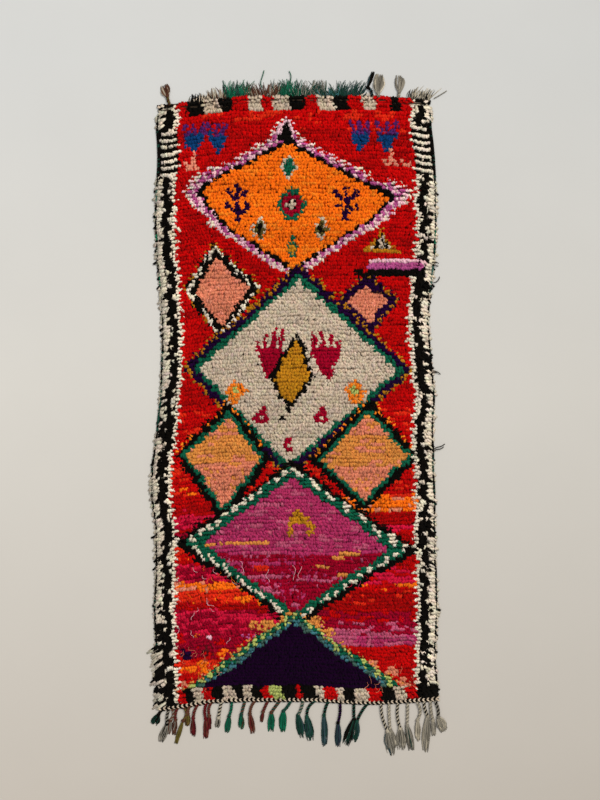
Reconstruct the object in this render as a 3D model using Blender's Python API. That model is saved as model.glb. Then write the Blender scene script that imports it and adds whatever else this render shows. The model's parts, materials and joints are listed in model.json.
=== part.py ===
"""Boucherouite rug lying flat: a knotted pile field with locks round its rim, a head strip with cut
rag locks, and a twined foot cord with knotted tassels. The origin is on the underside in the middle
of the field, +Y runs to the head end and +Z is up."""
import random
from collections import namedtuple

import bmesh
import bpy
from mathutils import Vector, noise

# Driving dimensions of the field, in metres
FIELD_ROWS = 74
FIELD_COLUMNS = 22
PILE_HEIGHT = 0.0165
BORDER_EXTRA = 0.0025
RIM_HEIGHT = 0.0095
LUMP_HEIGHT = 0.0026
ROLL_HEIGHT = 0.0012
LUMP_ACROSS = 0.11
LUMP_ALONG = 0.055
ROLL_SIZE = 0.35

# Locks at the rim of the field
LOCK_REACH = 0.013
LOCK_SPREAD = 0.007
LOCK_SHARE = 0.82
LOCK_INSET = 0.010
CORNER_LOCK_REACH = 0.030

# Strips at the two ends
PARTING = 0.0003
STRIP_STEPS = 5
HEAD_STRIP_WIDTH = 0.008
HEAD_STRIP_HEIGHT = 0.0065
CORD_WIDTH = 0.017
CORD_HEIGHT = 0.0105
CORD_TWIST = 0.0012

# Fringe and tassels
SHAG_WIDTH = 0.0085
SHAG_HEIGHT = 0.0075
NECK_WIDTH = 0.0076
NECK_HEIGHT = 0.0085
TASSEL_HEIGHT = 0.0105
NECK_SHARE = 0.42
SEED = 7

# Outline of the cloth from the head down: the place along the rug, and its left and right edges
Section = namedtuple("Section", "along left right")
OUTLINE = (
    Section(1.050, -0.484, 0.474),
    Section(0.952, -0.492, 0.478),
    Section(0.840, -0.486, 0.490),
    Section(0.728, -0.496, 0.492),
    Section(0.616, -0.496, 0.496),
    Section(0.504, -0.493, 0.490),
    Section(0.392, -0.480, 0.476),
    Section(0.280, -0.473, 0.466),
    Section(0.168, -0.473, 0.475),
    Section(0.028, -0.478, 0.489),
    Section(-0.112, -0.492, 0.483),
    Section(-0.224, -0.508, 0.486),
    Section(-0.336, -0.512, 0.490),
    Section(-0.448, -0.495, 0.490),
    Section(-0.588, -0.494, 0.494),
    Section(-0.728, -0.500, 0.500),
    Section(-0.896, -0.492, 0.491),
    Section(-1.045, -0.484, 0.503),
)

# The two end edges: the place across the rug as a share from the left, and where the cloth ends
EndPoint = namedtuple("EndPoint", "share head foot")
END_EDGES = (
    EndPoint(0.00, 1.023, -1.070),
    EndPoint(0.08, 1.029, -1.060),
    EndPoint(0.18, 1.040, -1.042),
    EndPoint(0.32, 1.053, -1.037),
    EndPoint(0.55, 1.055, -1.037),
    EndPoint(0.75, 1.056, -1.048),
    EndPoint(0.92, 1.049, -1.040),
    EndPoint(1.00, 1.040, -1.035),
)

# Cut locks along the head strip: a stretch of it, the locks' reach and their lean to the right
Shag = namedtuple("Shag", "start end reach lean")
HEAD_SHAG = (
    Shag(0.150, 0.205, 0.022, 0.00),
    Shag(0.205, 0.245, 0.032, -0.10),
    Shag(0.245, 0.330, 0.052, 0.06),
    Shag(0.330, 0.435, 0.045, -0.04),
    Shag(0.435, 0.515, 0.050, 0.05),
    Shag(0.515, 0.610, 0.050, 0.02),
    Shag(0.610, 0.650, 0.026, 0.05),
    Shag(0.650, 0.735, 0.043, 0.10),
    Shag(0.925, 1.000, 0.032, 0.35),
)

# Knotted tassels: where the root is and where the tip lies across the rug, the reach, the flare
Tassel = namedtuple("Tassel", "root tip reach flare")
HEAD_TASSELS = (
    Tassel(-0.440, -0.460, 0.064, 0.030),
    Tassel(0.262, 0.268, 0.092, 0.016),
    Tassel(0.292, 0.298, 0.084, 0.024),
    Tassel(0.361, 0.361, 0.076, 0.024),
)
FOOT_TASSELS = (
    Tassel(-0.466, -0.515, 0.062, 0.022),
    Tassel(-0.446, -0.474, 0.126, 0.022),
    Tassel(-0.423, -0.443, 0.092, 0.014),
    Tassel(-0.399, -0.420, 0.130, 0.013),
    Tassel(-0.378, -0.384, 0.066, 0.016),
    Tassel(-0.346, -0.359, 0.101, 0.015),
    Tassel(-0.314, -0.320, 0.108, 0.016),
    Tassel(-0.290, -0.297, 0.082, 0.014),
    Tassel(-0.259, -0.272, 0.072, 0.014),
    Tassel(-0.220, -0.246, 0.094, 0.016),
    Tassel(-0.178, -0.192, 0.082, 0.016),
    Tassel(-0.140, -0.154, 0.098, 0.018),
    Tassel(-0.101, -0.120, 0.058, 0.014),
    Tassel(-0.060, -0.089, 0.092, 0.020),
    Tassel(-0.021, -0.048, 0.094, 0.020),
    Tassel(0.024, 0.014, 0.122, 0.022),
    Tassel(0.070, 0.056, 0.130, 0.024),
    Tassel(0.119, 0.100, 0.150, 0.024),
    Tassel(0.157, 0.144, 0.148, 0.020),
    Tassel(0.203, 0.172, 0.144, 0.020),
    Tassel(0.248, 0.204, 0.128, 0.024),
    Tassel(0.297, 0.330, 0.176, 0.020),
    Tassel(0.325, 0.355, 0.160, 0.016),
    Tassel(0.359, 0.378, 0.160, 0.014),
    Tassel(0.390, 0.401, 0.156, 0.014),
    Tassel(0.422, 0.426, 0.130, 0.016),
    Tassel(0.446, 0.448, 0.166, 0.014),
    Tassel(0.463, 0.468, 0.132, 0.012),
    Tassel(0.477, 0.489, 0.124, 0.012),
    Tassel(0.489, 0.522, 0.106, 0.024),
)

PILE_RED = (0.48, 0.010, 0.012, 1.0)
HEAD_GREEN = (0.030, 0.110, 0.075, 1.0)
FOOT_GREY = (0.070, 0.075, 0.062, 1.0)


def clear_scene():
    for old in list(bpy.data.objects):
        bpy.data.objects.remove(old)


def wool(name, color, roughness):
    material = bpy.data.materials.new(name)
    material.use_nodes = True
    shader = material.node_tree.nodes["Principled BSDF"]
    shader.inputs["Base Color"].default_value = color
    shader.inputs["Roughness"].default_value = roughness
    shader.inputs["Metallic"].default_value = 0.0
    return material


def read_row(rows, key, value, column):
    """The column of a table at a value of its key, in straight steps between the rows."""
    ordered = sorted(rows, key=lambda row: getattr(row, key))
    for low, high in zip(ordered, ordered[1:]):
        if value <= getattr(high, key):
            break
    start = getattr(low, key)
    share = (value - start) / (getattr(high, key) - start)
    share = min(max(share, 0.0), 1.0)
    return getattr(low, column) + share * (getattr(high, column) - getattr(low, column))


def cloth_point(across, along):
    """The place on the floor of a share across the cloth and a share from foot to head."""
    foot = read_row(END_EDGES, "share", across, "foot")
    head = read_row(END_EDGES, "share", across, "head")
    y = foot + along * (head - foot)
    left = read_row(OUTLINE, "along", y, "left") + LOCK_INSET
    right = read_row(OUTLINE, "along", y, "right") - LOCK_INSET
    return Vector((left + across * (right - left), y, 0.0))


def pile_top(point, across, along):
    """The height of the pile: low at the rim, a little longer in the side borders, and lumpy."""
    edge = min(across, 1.0 - across) * FIELD_COLUMNS
    end = min(along, 1.0 - along) * FIELD_ROWS
    if edge < 0.5 or end < 0.5:
        return RIM_HEIGHT
    spot = Vector((point.x / LUMP_ACROSS, point.y / LUMP_ALONG, 0.0))
    lump = noise.noise(spot) * LUMP_HEIGHT * 2.0
    roll = noise.noise(point / ROLL_SIZE + Vector((5.0, 0.0, 0.0))) * ROLL_HEIGHT * 2.0
    border = BORDER_EXTRA if edge < 1.5 else 0.0
    return PILE_HEIGHT + border + lump + roll


def place_corners(face, inner, outer, low, high):
    """Set a quad's corners: inner and outer are floor points, low and high are heights."""
    middle = sum(vert.co.z for vert in face.verts) / len(face.verts)
    axis = outer - inner
    centre = face.calc_center_median()
    for vert in face.verts:
        spot = outer if (vert.co - centre).dot(axis) > 0.0 else inner
        vert.co = Vector((spot.x, spot.y, high if vert.co.z > middle else low))


def grow(bm, face, stations):
    """Extrude a wall face through stations of (inner, outer, height), resting on the floor."""
    for inner, outer, height in stations:
        made = bmesh.ops.extrude_discrete_faces(bm, faces=[face])
        face = made["faces"][0]
        place_corners(face, inner, outer, 0.0, height)
    return face


def wall_ends(face):
    """The two floor points of a wall face, and its outward direction on the floor."""
    low = sorted(face.verts, key=lambda vert: vert.co.z)[:2]
    face.normal_update()
    out = Vector((face.normal.x, face.normal.y, 0.0)).normalized()
    return low[0].co.copy(), low[1].co.copy(), out


def add_rim_lock(bm, face, reach, lean):
    """One lock of pile that leaves a side wall of the field and tapers to a blunt tip."""
    start, end, out = wall_ends(face)
    start.z = 0.0
    end.z = 0.0
    middle = (start + end) / 2.0
    half = (end - start) / 2.0
    slide = half.normalized() * lean
    knee = middle + out * reach * 0.55 + slide * 0.4
    tip = middle + out * reach + slide
    stations = (
        (knee - half * 0.74, knee + half * 0.74, RIM_HEIGHT * 0.72),
        (tip - half * 0.26, tip + half * 0.26, RIM_HEIGHT * 0.34),
    )
    grow(bm, face, stations)


def add_rim_locks(bm):
    """Uneven locks down both long sides, longer at the left foot corner."""
    rng = random.Random(SEED)
    walls = [face for face in bm.faces if abs(face.normal.x) > 0.9]
    walls.sort(key=lambda face: (face.calc_center_median().x > 0.0, face.calc_center_median().y))
    for face in walls:
        centre = face.calc_center_median()
        share = rng.random()
        reach = LOCK_REACH + LOCK_SPREAD * (2.0 * rng.random() - 1.0)
        lean = 0.006 * (2.0 * rng.random() - 1.0)
        near_corner = centre.x < 0.0 and centre.y < -0.86
        if near_corner:
            reach = CORNER_LOCK_REACH * (0.45 + 0.55 * rng.random())
        if share < LOCK_SHARE or near_corner:
            add_rim_lock(bm, face, reach, lean)


def close_floor(bm):
    """Drop a wall from the open rim to the floor and fill the underside flat."""
    rim = [edge for edge in bm.edges if edge.is_boundary]
    made = bmesh.ops.extrude_edge_only(bm, edges=rim)
    low = [item for item in made["geom"] if isinstance(item, bmesh.types.BMVert)]
    for vert in low:
        vert.co.z = 0.0
    under = [edge for edge in bm.edges if edge.is_boundary]
    bmesh.ops.triangle_fill(bm, use_beauty=True, edges=under)
    bmesh.ops.recalc_face_normals(bm, faces=bm.faces[:])


def finish_piece(bm, name, material, collection):
    mesh = bpy.data.meshes.new(name)
    bm.to_mesh(mesh)
    bm.free()
    piece = bpy.data.objects.new(name, mesh)
    mesh.materials.append(material)
    collection.objects.link(piece)
    return piece


def make_field(collection):
    """The knotted cloth: one slab, flat underneath, with lumpy pile and locks at its rim."""
    bm = bmesh.new()
    bmesh.ops.create_grid(bm, x_segments=FIELD_COLUMNS, y_segments=FIELD_ROWS, size=0.5)
    for vert in bm.verts:
        across = vert.co.x + 0.5
        along = vert.co.y + 0.5
        point = cloth_point(across, along)
        point.z = pile_top(point, across, along)
        vert.co = point
    close_floor(bm)
    add_rim_locks(bm)
    finish_piece(bm, "rug_field", wool("pile_wool", PILE_RED, 0.92), collection)


def strip_line(end, offset):
    """Points along an end of the cloth, moved out by an offset, with even steps between."""
    along = 1.0 if end > 0 else 0.0
    corners = [cloth_point(k / FIELD_COLUMNS, along) for k in range(FIELD_COLUMNS + 1)]
    points = []
    for low, high in zip(corners, corners[1:]):
        for step in range(STRIP_STEPS):
            points.append(low.lerp(high, step / STRIP_STEPS))
    points.append(corners[-1])
    for point in points:
        point.y += end * offset
    return points


def make_strip(end, width, height, ridge):
    """A strip along one end of the cloth, with a ridge down it. Returns its mesh and outer walls."""
    inner = strip_line(end, PARTING)
    outer = strip_line(end, PARTING + width)
    bm = bmesh.new()
    rows = []
    for number, (near, far) in enumerate(zip(inner, outer)):
        swell = ridge if number % 2 else -ridge
        middle = near.lerp(far, 0.5)
        top = (
            Vector((near.x, near.y, height * 0.8)),
            Vector((middle.x, middle.y, height + swell)),
            Vector((far.x, far.y, height * 0.8)),
        )
        rows.append([bm.verts.new(point) for point in top])
    edges = []
    for row in rows:
        edges.append(bm.edges.new((row[0], row[1])))
        edges.append(bm.edges.new((row[1], row[2])))
    for first, second in zip(edges[:-2], edges[2:]):
        bmesh.ops.bridge_loops(bm, edges=[first, second])
    close_floor(bm)
    walls = [face for face in bm.faces if face.normal.y * end > 0.9 and abs(face.normal.z) < 0.1]
    walls.sort(key=lambda face: face.calc_center_median().x)
    return bm, walls


def shag_for(share):
    for stretch in HEAD_SHAG:
        if stretch.start <= share < stretch.end:
            return stretch
    return None


def add_shag_lock(bm, face, reach, lean):
    """A cut rag lock: straight out of the strip, a little narrower, with a blunt tip."""
    start, end, out = wall_ends(face)
    middle = (start + end) / 2.0
    side = Vector((1.0, 0.0, 0.0))
    half = side * SHAG_WIDTH / 2.0
    knee = middle + out * reach * 0.5 + side * lean * reach * 0.35
    tip = middle + out * reach + side * lean * reach
    stations = (
        (knee - half * 0.72, knee + half * 0.72, SHAG_HEIGHT),
        (tip - half * 0.34, tip + half * 0.34, SHAG_HEIGHT * 0.5),
    )
    grow(bm, face, stations)


def add_tassel(bm, face, tassel):
    """A twisted neck that leaves the strip, then an opened end that flares and closes a little."""
    start, end, out = wall_ends(face)
    root = (start + end) / 2.0
    tip = Vector((tassel.tip, root.y + out.y * tassel.reach, 0.0))
    side = Vector((1.0, 0.0, 0.0))
    tie = root.lerp(tip, NECK_SHARE)
    tie.x = root.x + (tip.x - root.x) * NECK_SHARE * 0.7
    shape = (
        (root.lerp(tie, 0.30), NECK_WIDTH, NECK_HEIGHT),
        (root.lerp(tie, 0.65), NECK_WIDTH * 0.92, NECK_HEIGHT),
        (tie, NECK_WIDTH * 0.85, NECK_HEIGHT * 0.9),
        (tie.lerp(tip, 0.30), tassel.flare * 0.80, TASSEL_HEIGHT),
        (tie.lerp(tip, 0.68), tassel.flare, TASSEL_HEIGHT * 0.85),
        (tip, tassel.flare * 0.62, TASSEL_HEIGHT * 0.4),
    )
    stations = [(spot - side * w / 2.0, spot + side * w / 2.0, h) for spot, w, h in shape]
    grow(bm, face, stations)


def nearest_wall(walls, x, taken):
    free = [face for face in walls if face not in taken]
    return min(free, key=lambda face: abs(face.calc_center_median().x - x))


def make_head_fringe(collection):
    """The woven end web with its cut locks and a few longer tassels."""
    rng = random.Random(SEED + 1)
    bm, walls = make_strip(1, HEAD_STRIP_WIDTH, HEAD_STRIP_HEIGHT, 0.0)
    taken = []
    for tassel in HEAD_TASSELS:
        wall = nearest_wall(walls, tassel.root, taken)
        taken.append(wall)
        add_tassel(bm, wall, tassel)
    for number, wall in enumerate(walls):
        stretch = shag_for((number + 0.5) / len(walls))
        reach = 0.7 + 0.3 * rng.random()
        if wall in taken or stretch is None:
            continue
        sway = noise.noise(Vector((number / 6.0, 0.5, 0.0))) * 0.25
        add_shag_lock(bm, wall, stretch.reach * reach, stretch.lean + sway)
    finish_piece(bm, "head_fringe", wool("head_yarn", HEAD_GREEN, 0.9), collection)


def make_foot_fringe(collection):
    """The twined cord with its knotted tassels."""
    bm, walls = make_strip(-1, CORD_WIDTH, CORD_HEIGHT, CORD_TWIST)
    taken = []
    for tassel in FOOT_TASSELS:
        wall = nearest_wall(walls, tassel.root, taken)
        taken.append(wall)
        add_tassel(bm, wall, tassel)
    finish_piece(bm, "foot_fringe", wool("foot_yarn", FOOT_GREY, 0.9), collection)


def main():
    clear_scene()
    collection = bpy.data.collections.new("boucherouite_rug")
    bpy.context.scene.collection.children.link(collection)
    make_field(collection)
    make_head_fringe(collection)
    make_foot_fringe(collection)


main()
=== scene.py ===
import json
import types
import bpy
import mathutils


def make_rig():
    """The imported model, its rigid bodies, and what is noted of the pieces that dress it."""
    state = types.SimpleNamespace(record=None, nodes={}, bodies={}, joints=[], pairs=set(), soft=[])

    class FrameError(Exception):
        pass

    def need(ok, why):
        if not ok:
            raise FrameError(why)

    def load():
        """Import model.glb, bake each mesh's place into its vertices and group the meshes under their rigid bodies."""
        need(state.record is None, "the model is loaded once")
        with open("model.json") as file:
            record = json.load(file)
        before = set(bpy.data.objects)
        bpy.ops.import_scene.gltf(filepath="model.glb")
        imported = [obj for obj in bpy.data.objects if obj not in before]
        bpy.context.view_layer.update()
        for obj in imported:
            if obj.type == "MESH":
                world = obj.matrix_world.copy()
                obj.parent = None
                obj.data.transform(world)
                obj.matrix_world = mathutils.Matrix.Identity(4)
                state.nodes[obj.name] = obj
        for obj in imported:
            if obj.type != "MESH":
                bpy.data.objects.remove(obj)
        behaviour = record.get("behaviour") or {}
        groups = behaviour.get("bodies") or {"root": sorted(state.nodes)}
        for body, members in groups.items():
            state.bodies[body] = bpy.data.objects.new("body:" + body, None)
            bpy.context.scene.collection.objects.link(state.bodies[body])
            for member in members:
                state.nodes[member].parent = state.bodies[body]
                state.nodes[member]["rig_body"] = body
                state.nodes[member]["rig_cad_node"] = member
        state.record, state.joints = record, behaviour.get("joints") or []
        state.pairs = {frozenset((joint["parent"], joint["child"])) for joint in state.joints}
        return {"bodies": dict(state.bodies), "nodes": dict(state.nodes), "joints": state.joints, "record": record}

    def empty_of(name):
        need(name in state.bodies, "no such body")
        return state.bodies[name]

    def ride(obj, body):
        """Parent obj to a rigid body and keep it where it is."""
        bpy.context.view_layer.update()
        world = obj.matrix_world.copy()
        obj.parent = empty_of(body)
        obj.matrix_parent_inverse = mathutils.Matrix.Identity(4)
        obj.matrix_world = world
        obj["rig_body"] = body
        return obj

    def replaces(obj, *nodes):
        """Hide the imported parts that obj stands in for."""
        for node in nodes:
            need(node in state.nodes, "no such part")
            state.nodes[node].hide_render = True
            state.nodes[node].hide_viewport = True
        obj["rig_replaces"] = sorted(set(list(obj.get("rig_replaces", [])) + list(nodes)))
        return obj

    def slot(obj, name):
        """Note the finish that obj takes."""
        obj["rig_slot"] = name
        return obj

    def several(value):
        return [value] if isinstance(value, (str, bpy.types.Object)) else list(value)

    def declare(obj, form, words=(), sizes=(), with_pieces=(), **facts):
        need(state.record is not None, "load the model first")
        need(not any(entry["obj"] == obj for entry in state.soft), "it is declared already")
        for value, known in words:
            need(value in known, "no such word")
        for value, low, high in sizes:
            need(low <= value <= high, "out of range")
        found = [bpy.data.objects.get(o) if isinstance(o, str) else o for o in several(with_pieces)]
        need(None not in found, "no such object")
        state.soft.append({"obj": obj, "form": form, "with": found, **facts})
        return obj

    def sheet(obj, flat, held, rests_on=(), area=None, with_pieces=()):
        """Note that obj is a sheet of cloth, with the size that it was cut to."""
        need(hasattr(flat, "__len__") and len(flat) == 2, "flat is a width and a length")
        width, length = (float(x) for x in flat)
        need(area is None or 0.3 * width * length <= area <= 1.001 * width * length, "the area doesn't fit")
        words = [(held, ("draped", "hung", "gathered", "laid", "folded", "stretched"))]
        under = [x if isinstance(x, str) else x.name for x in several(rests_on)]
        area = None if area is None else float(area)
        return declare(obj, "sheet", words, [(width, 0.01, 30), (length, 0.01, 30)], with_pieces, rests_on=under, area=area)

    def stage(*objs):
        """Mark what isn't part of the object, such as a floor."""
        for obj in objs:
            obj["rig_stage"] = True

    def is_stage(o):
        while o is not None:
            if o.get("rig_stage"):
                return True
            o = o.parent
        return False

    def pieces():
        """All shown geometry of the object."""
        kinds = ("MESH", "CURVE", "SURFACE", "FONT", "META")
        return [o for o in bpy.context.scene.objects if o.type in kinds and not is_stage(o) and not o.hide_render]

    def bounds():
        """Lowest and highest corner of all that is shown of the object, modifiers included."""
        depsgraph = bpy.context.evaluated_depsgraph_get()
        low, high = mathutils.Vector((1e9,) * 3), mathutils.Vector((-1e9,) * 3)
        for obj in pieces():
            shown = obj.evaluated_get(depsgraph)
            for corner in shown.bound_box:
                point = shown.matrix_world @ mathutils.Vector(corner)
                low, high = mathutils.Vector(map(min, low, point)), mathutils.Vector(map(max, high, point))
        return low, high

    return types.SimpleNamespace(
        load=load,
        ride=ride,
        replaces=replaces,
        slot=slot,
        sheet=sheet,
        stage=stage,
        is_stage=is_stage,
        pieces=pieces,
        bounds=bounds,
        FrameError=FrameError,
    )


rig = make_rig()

bl_info = {
    "name": "Boucherouite Rug",
    "version": (1, 0, 0),
    "blender": (4, 5, 0),
    "location": "View3D > Sidebar > Rug",
    "description": "Knots a lozenge rug row by row, with its cut head fringe and its foot tassels",
    "category": "Object",
}

import json
import math
from collections import namedtuple

import bmesh
import bpy
import numpy as np
from mathutils import Vector
from mathutils.bvhtree import BVHTree

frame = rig.load()
CAD_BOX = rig.bounds()

MM = 0.001
SIZE_FILE = "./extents.json"
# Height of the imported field's rim, where its outline is read, in millimetres
RIM_HEIGHT = 9.5
RIM_TOLERANCE = 0.2
# Gap that parts the end strips from the cloth
PARTING = 0.3


# The tables below are text: a row for each line, and a cell for each field of its kind

def read_cell(word):
    """A whole number, a decimal number or the word itself."""
    for kind in (int, float):
        try:
            return kind(word)
        except ValueError:
            continue
    return word


def rows(text):
    return [tuple(map(read_cell, line.split())) for line in text.strip().splitlines()]


def table(kind, text):
    return tuple(kind(*row) for row in rows(text))


# Yarns, as dyed
Yarn = namedtuple("Yarn", "name red green blue")
YARNS = table(Yarn, """
    red       0.515  0.002 0.002
    dark_red  0.370  0.002 0.002
    scarlet   0.700  0.022 0.006
    crimson   0.310  0.001 0.016
    hot_pink  0.640  0.008 0.042
    orange    0.980  0.165 0.006
    salmon    0.720   0.22  0.12
    rose      0.780   0.26  0.16
    amber     0.920   0.21 0.012
    peach     0.720   0.26 0.052
    gold      0.500  0.205 0.010
    ochre     0.420  0.165 0.008
    cream     0.590  0.465 0.335
    ivory     0.780   0.67  0.51
    pale_pink 0.820   0.48  0.52
    mauve     0.440  0.075  0.23
    magenta   0.430   0.03  0.11
    orchid    0.500  0.085  0.16
    green     0.005  0.105 0.052
    lime      0.450  0.500 0.130
    teal      0.050  0.170 0.190
    blue      0.004  0.045 0.150
    violet    0.085  0.015 0.110
    purple    0.014  0.001 0.026
    aubergine 0.010 0.0003 0.014
    black     0.004  0.003 0.002
    grey      0.200  0.178 0.138
    undyed    0.370  0.320 0.235
    brown     0.090  0.035 0.020
    maroon    0.100  0.008 0.010
    olive     0.100  0.075 0.015
    forest    0.010  0.045 0.030
    slate     0.026  0.050 0.055
    sea       0.055  0.120 0.095
""")
CODE = {yarn.name: number for number, yarn in enumerate(YARNS)}


def length_prop(label, description, value):
    return bpy.props.FloatProperty(
        name=label, description=description, default=value, unit="LENGTH", precision=4
    )


def power_prop(label, description, value):
    return bpy.props.FloatProperty(name=label, description=description, default=value, min=0.0)


def yarn_prop(yarn):
    label = yarn.name.replace("_", " ")
    return bpy.props.FloatVectorProperty(
        name=label.capitalize(),
        description=f"Dyed colour of the {label} yarn",
        subtype="COLOR",
        size=3,
        min=0.0,
        max=1.0,
        default=(yarn.red, yarn.green, yarn.blue),
    )


class RugKnotSettings(bpy.types.PropertyGroup):
    knot_pitch: length_prop("Knot pitch", "Width that one knot takes along its row", 0.0070)
    row_pitch: length_prop("Row pitch", "Distance from one row of knots to the next", 0.0120)
    lock_reach: length_prop("Lock reach", "How far a lock lies over towards the foot", 0.0205)
    lock_width: length_prop("Lock width", "Width of one cut end at its fullest", 0.0098)
    lock_depth: length_prop("Lock depth", "Thickness of one cut end at its fullest", 0.0046)
    cloth_thickness: length_prop("Cloth thickness", "Thickness of the woven foundation", 0.0026)
    border_width: length_prop("Border width", "Width of each serrated side border", 0.0620)
    seed: bpy.props.IntProperty(name="Seed", description="Seed of the hand's unevenness", default=11)


class RugFringeSettings(bpy.types.PropertyGroup):
    web_width: length_prop("Web width", "Width of the woven end web at the head", 0.0080)
    cord_width: length_prop("Cord width", "Width of the twined cord at the foot", 0.0170)
    cord_pitch: length_prop("Cord pitch", "Length of one dark and one pale turn", 0.0156)
    selvedge_width: length_prop("Selvedge width", "Width of the wrapped side cords", 0.0072)
    wrap_pitch: length_prop("Wrap pitch", "Distance between turns of a selvedge", 0.0050)
    neck_width: length_prop("Tassel neck", "Width of a tassel's twisted neck", 0.0120)
    neck_pitch: length_prop("Twist pitch", "Length of one turn of a neck's two plies", 0.0130)
    strand_width: length_prop("Strand width", "Width of one loose strand of a tassel", 0.0036)
    rag_width: length_prop("Rag width", "Width of one cut lock in the head fringe", 0.0030)
    thread_width: length_prop("Thread width", "Width of a stray thread", 0.0034)


class RugYarnSettings(bpy.types.PropertyGroup):
    __annotations__ = {yarn.name: yarn_prop(yarn) for yarn in YARNS}


class RugStageSettings(bpy.types.PropertyGroup):
    camera_height: length_prop("Camera height", "Height of the camera above the floor", 4.2)
    seen_length: length_prop("Seen length", "Length of floor that the picture takes in", 2.8)
    key_power: power_prop("Key light", "Power of the large soft light", 1560.0)
    fill_power: power_prop("Fill light", "Power of the light from overhead", 500.0)


# Pattern of the knots, in millimetres from the middle of the field

# The ground changes colour where a dye lot ran out: the foot edge of each run, left and right
GroundRun = namedtuple("GroundRun", "down_to left left_fleck right right_fleck fleck_share")
GROUND_RUNS = table(GroundRun, """
      985 red      scarlet  red      scarlet  0.25
      948 red      dark_red red      scarlet  0.12
      905 dark_red red      dark_red red      0.35
      -20 red      dark_red red      dark_red 0.22
     -300 red      scarlet  red      scarlet  0.22
     -318 red      orange   red      dark_red 0.25
     -328 scarlet  orange   scarlet  orange   0.25
     -374 dark_red red      orange   salmon   0.30
     -396 dark_red hot_pink dark_red red      0.15
     -420 hot_pink red      dark_red red      0.15
     -446 hot_pink crimson  red      hot_pink 0.45
     -505 dark_red crimson  red      dark_red 0.30
     -530 scarlet  orange   red      dark_red 0.25
     -568 red      scarlet  red      dark_red 0.25
     -606 crimson  hot_pink red      hot_pink 0.35
     -630 hot_pink crimson  hot_pink red      0.35
     -658 orange   salmon   red      orange   0.45
     -700 scarlet  orange   dark_red scarlet  0.12
     -724 dark_red red      dark_red red      0.10
     -764 hot_pink crimson  crimson  red      0.40
     -790 crimson  hot_pink crimson  orchid   0.30
     -812 crimson  hot_pink orchid   crimson  0.35
     -850 crimson  red      orchid   magenta  0.35
     -872 crimson  red      red      orchid   0.12
     -905 red      crimson  red      dark_red 0.20
     -950 scarlet  orange   red      scarlet  0.20
    -1100 red      salmon   red      dark_red 0.20
""")

# Short patches of other rags in the foot end of the ground: centre, size, colour and fill share
Patch = namedtuple("Patch", "x y wide high yarn share")
PATCHES = table(Patch, """
    -345 -812 40 18 orange    0.85
    -385 -880 46 30 purple    0.75
    -302 -868 62 38 maroon    0.55
    -247 -872 42 26 orange    0.85
    -327 -925 48 44 orange    0.50
    -292 -948 60 44 salmon    0.45
    -385 -985 70 34 salmon    0.45
    -296 -815 56 22 pale_pink 0.35
    -120 -772 90 40 peach     0.75
    -160 -815 70 34 mauve     0.40
      66 -764 80 42 peach     0.75
     110 -800 66 34 peach     0.55
     270 -912 34 26 salmon    0.90
     335 -938 50 34 salmon    0.60
     372 -984 54 54 salmon    0.80
    -390 -540 40 10 orange    0.50
    -210 -640 60 14 salmon    0.60
    -180 -655 40 16 gold      0.50
     340 -430 60 14 hot_pink  0.70
""")

# Lozenges from the head down: the yarns of the fill and its flecks, how far the locks of the
# outlines splay outwards, how far the outlines swell at the left and right corners, and the
# corners of the fill, clockwise from the head end
Lozenge = namedtuple("Lozenge", "fill fleck splay swell corners")
LOZENGES = tuple(Lozenge(*row[:4], tuple(zip(row[4::2], row[5::2]))) for row in rows("""
    pale_pink mauve     0.4  0.0  -36  986   22   905  -36   885  -94   905
    orange    amber     0.6  0.5  -32  903  324   716  248   640  -10   474 -241 622 -328 730 -300 768
    salmon    rose      0.5  0.0 -282  506 -163   396 -262   270 -352   388
    salmon    rose      0.4  0.0  252  408  318   357  259   283  186   357
    cream     cream     0.3  0.0   10  428  352   112  -26  -212 -338   121
    peach     salmon    0.3  0.0 -238  -48 -124  -189 -256  -366 -378  -182
    peach     salmon    0.3  0.0  255  -36  386  -186  236  -336   98  -198
    magenta   orchid    0.6 0.25  -14 -262  326  -512   -7  -730 -330  -490
    aubergine aubergine 0.5  0.0   -7 -774  346 -1020   -5 -1260 -352 -1020
    black     black     0.5  0.0  -36  972  -14   932  -36   900  -58   932
    gold      gold      0.2  0.0    0  218   50    94  -26    -6  -74    88
"""))

# Outlines of the lozenges, from inside out: the lozenge's number, the width and yarn, the length
# of its dashes, their yarn, and the height above which it is dashed
Outline = namedtuple("Outline", "lozenge width yarn dash other above", defaults=(0.0, "", -1100.0))
OUTLINES = table(Outline, """
     0  8 ivory     30.0 pale_pink
     1  9 black
     1 16 mauve     30.0 pale_pink
     1 10 pale_pink 24.0 ivory
     2  9 black
     2 16 ivory     26.0 black
     2 10 black     24.0 ochre
     3 17 purple
     3 14 purple    22.0 ochre
     4 14 green
     4 15 purple
     4 13 ochre     24.0 purple
     5 12 green
     5 12 black
     5 11 black     22.0 amber     -190.0
     6 12 green
     6 12 black
     6 11 black     22.0 amber     -190.0
     7 13 green
     7 16 ivory     38.0 green
     7 19 black
     8 13 teal      40.0 sea
     8 17 green     34.0 lime
     8 13 peach     36.0
    10 15 black
""")
# How far the locks of an outline splay, from the outermost line in
SPLAY_STEPS = (1.0, 0.75, 0.35)

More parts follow.
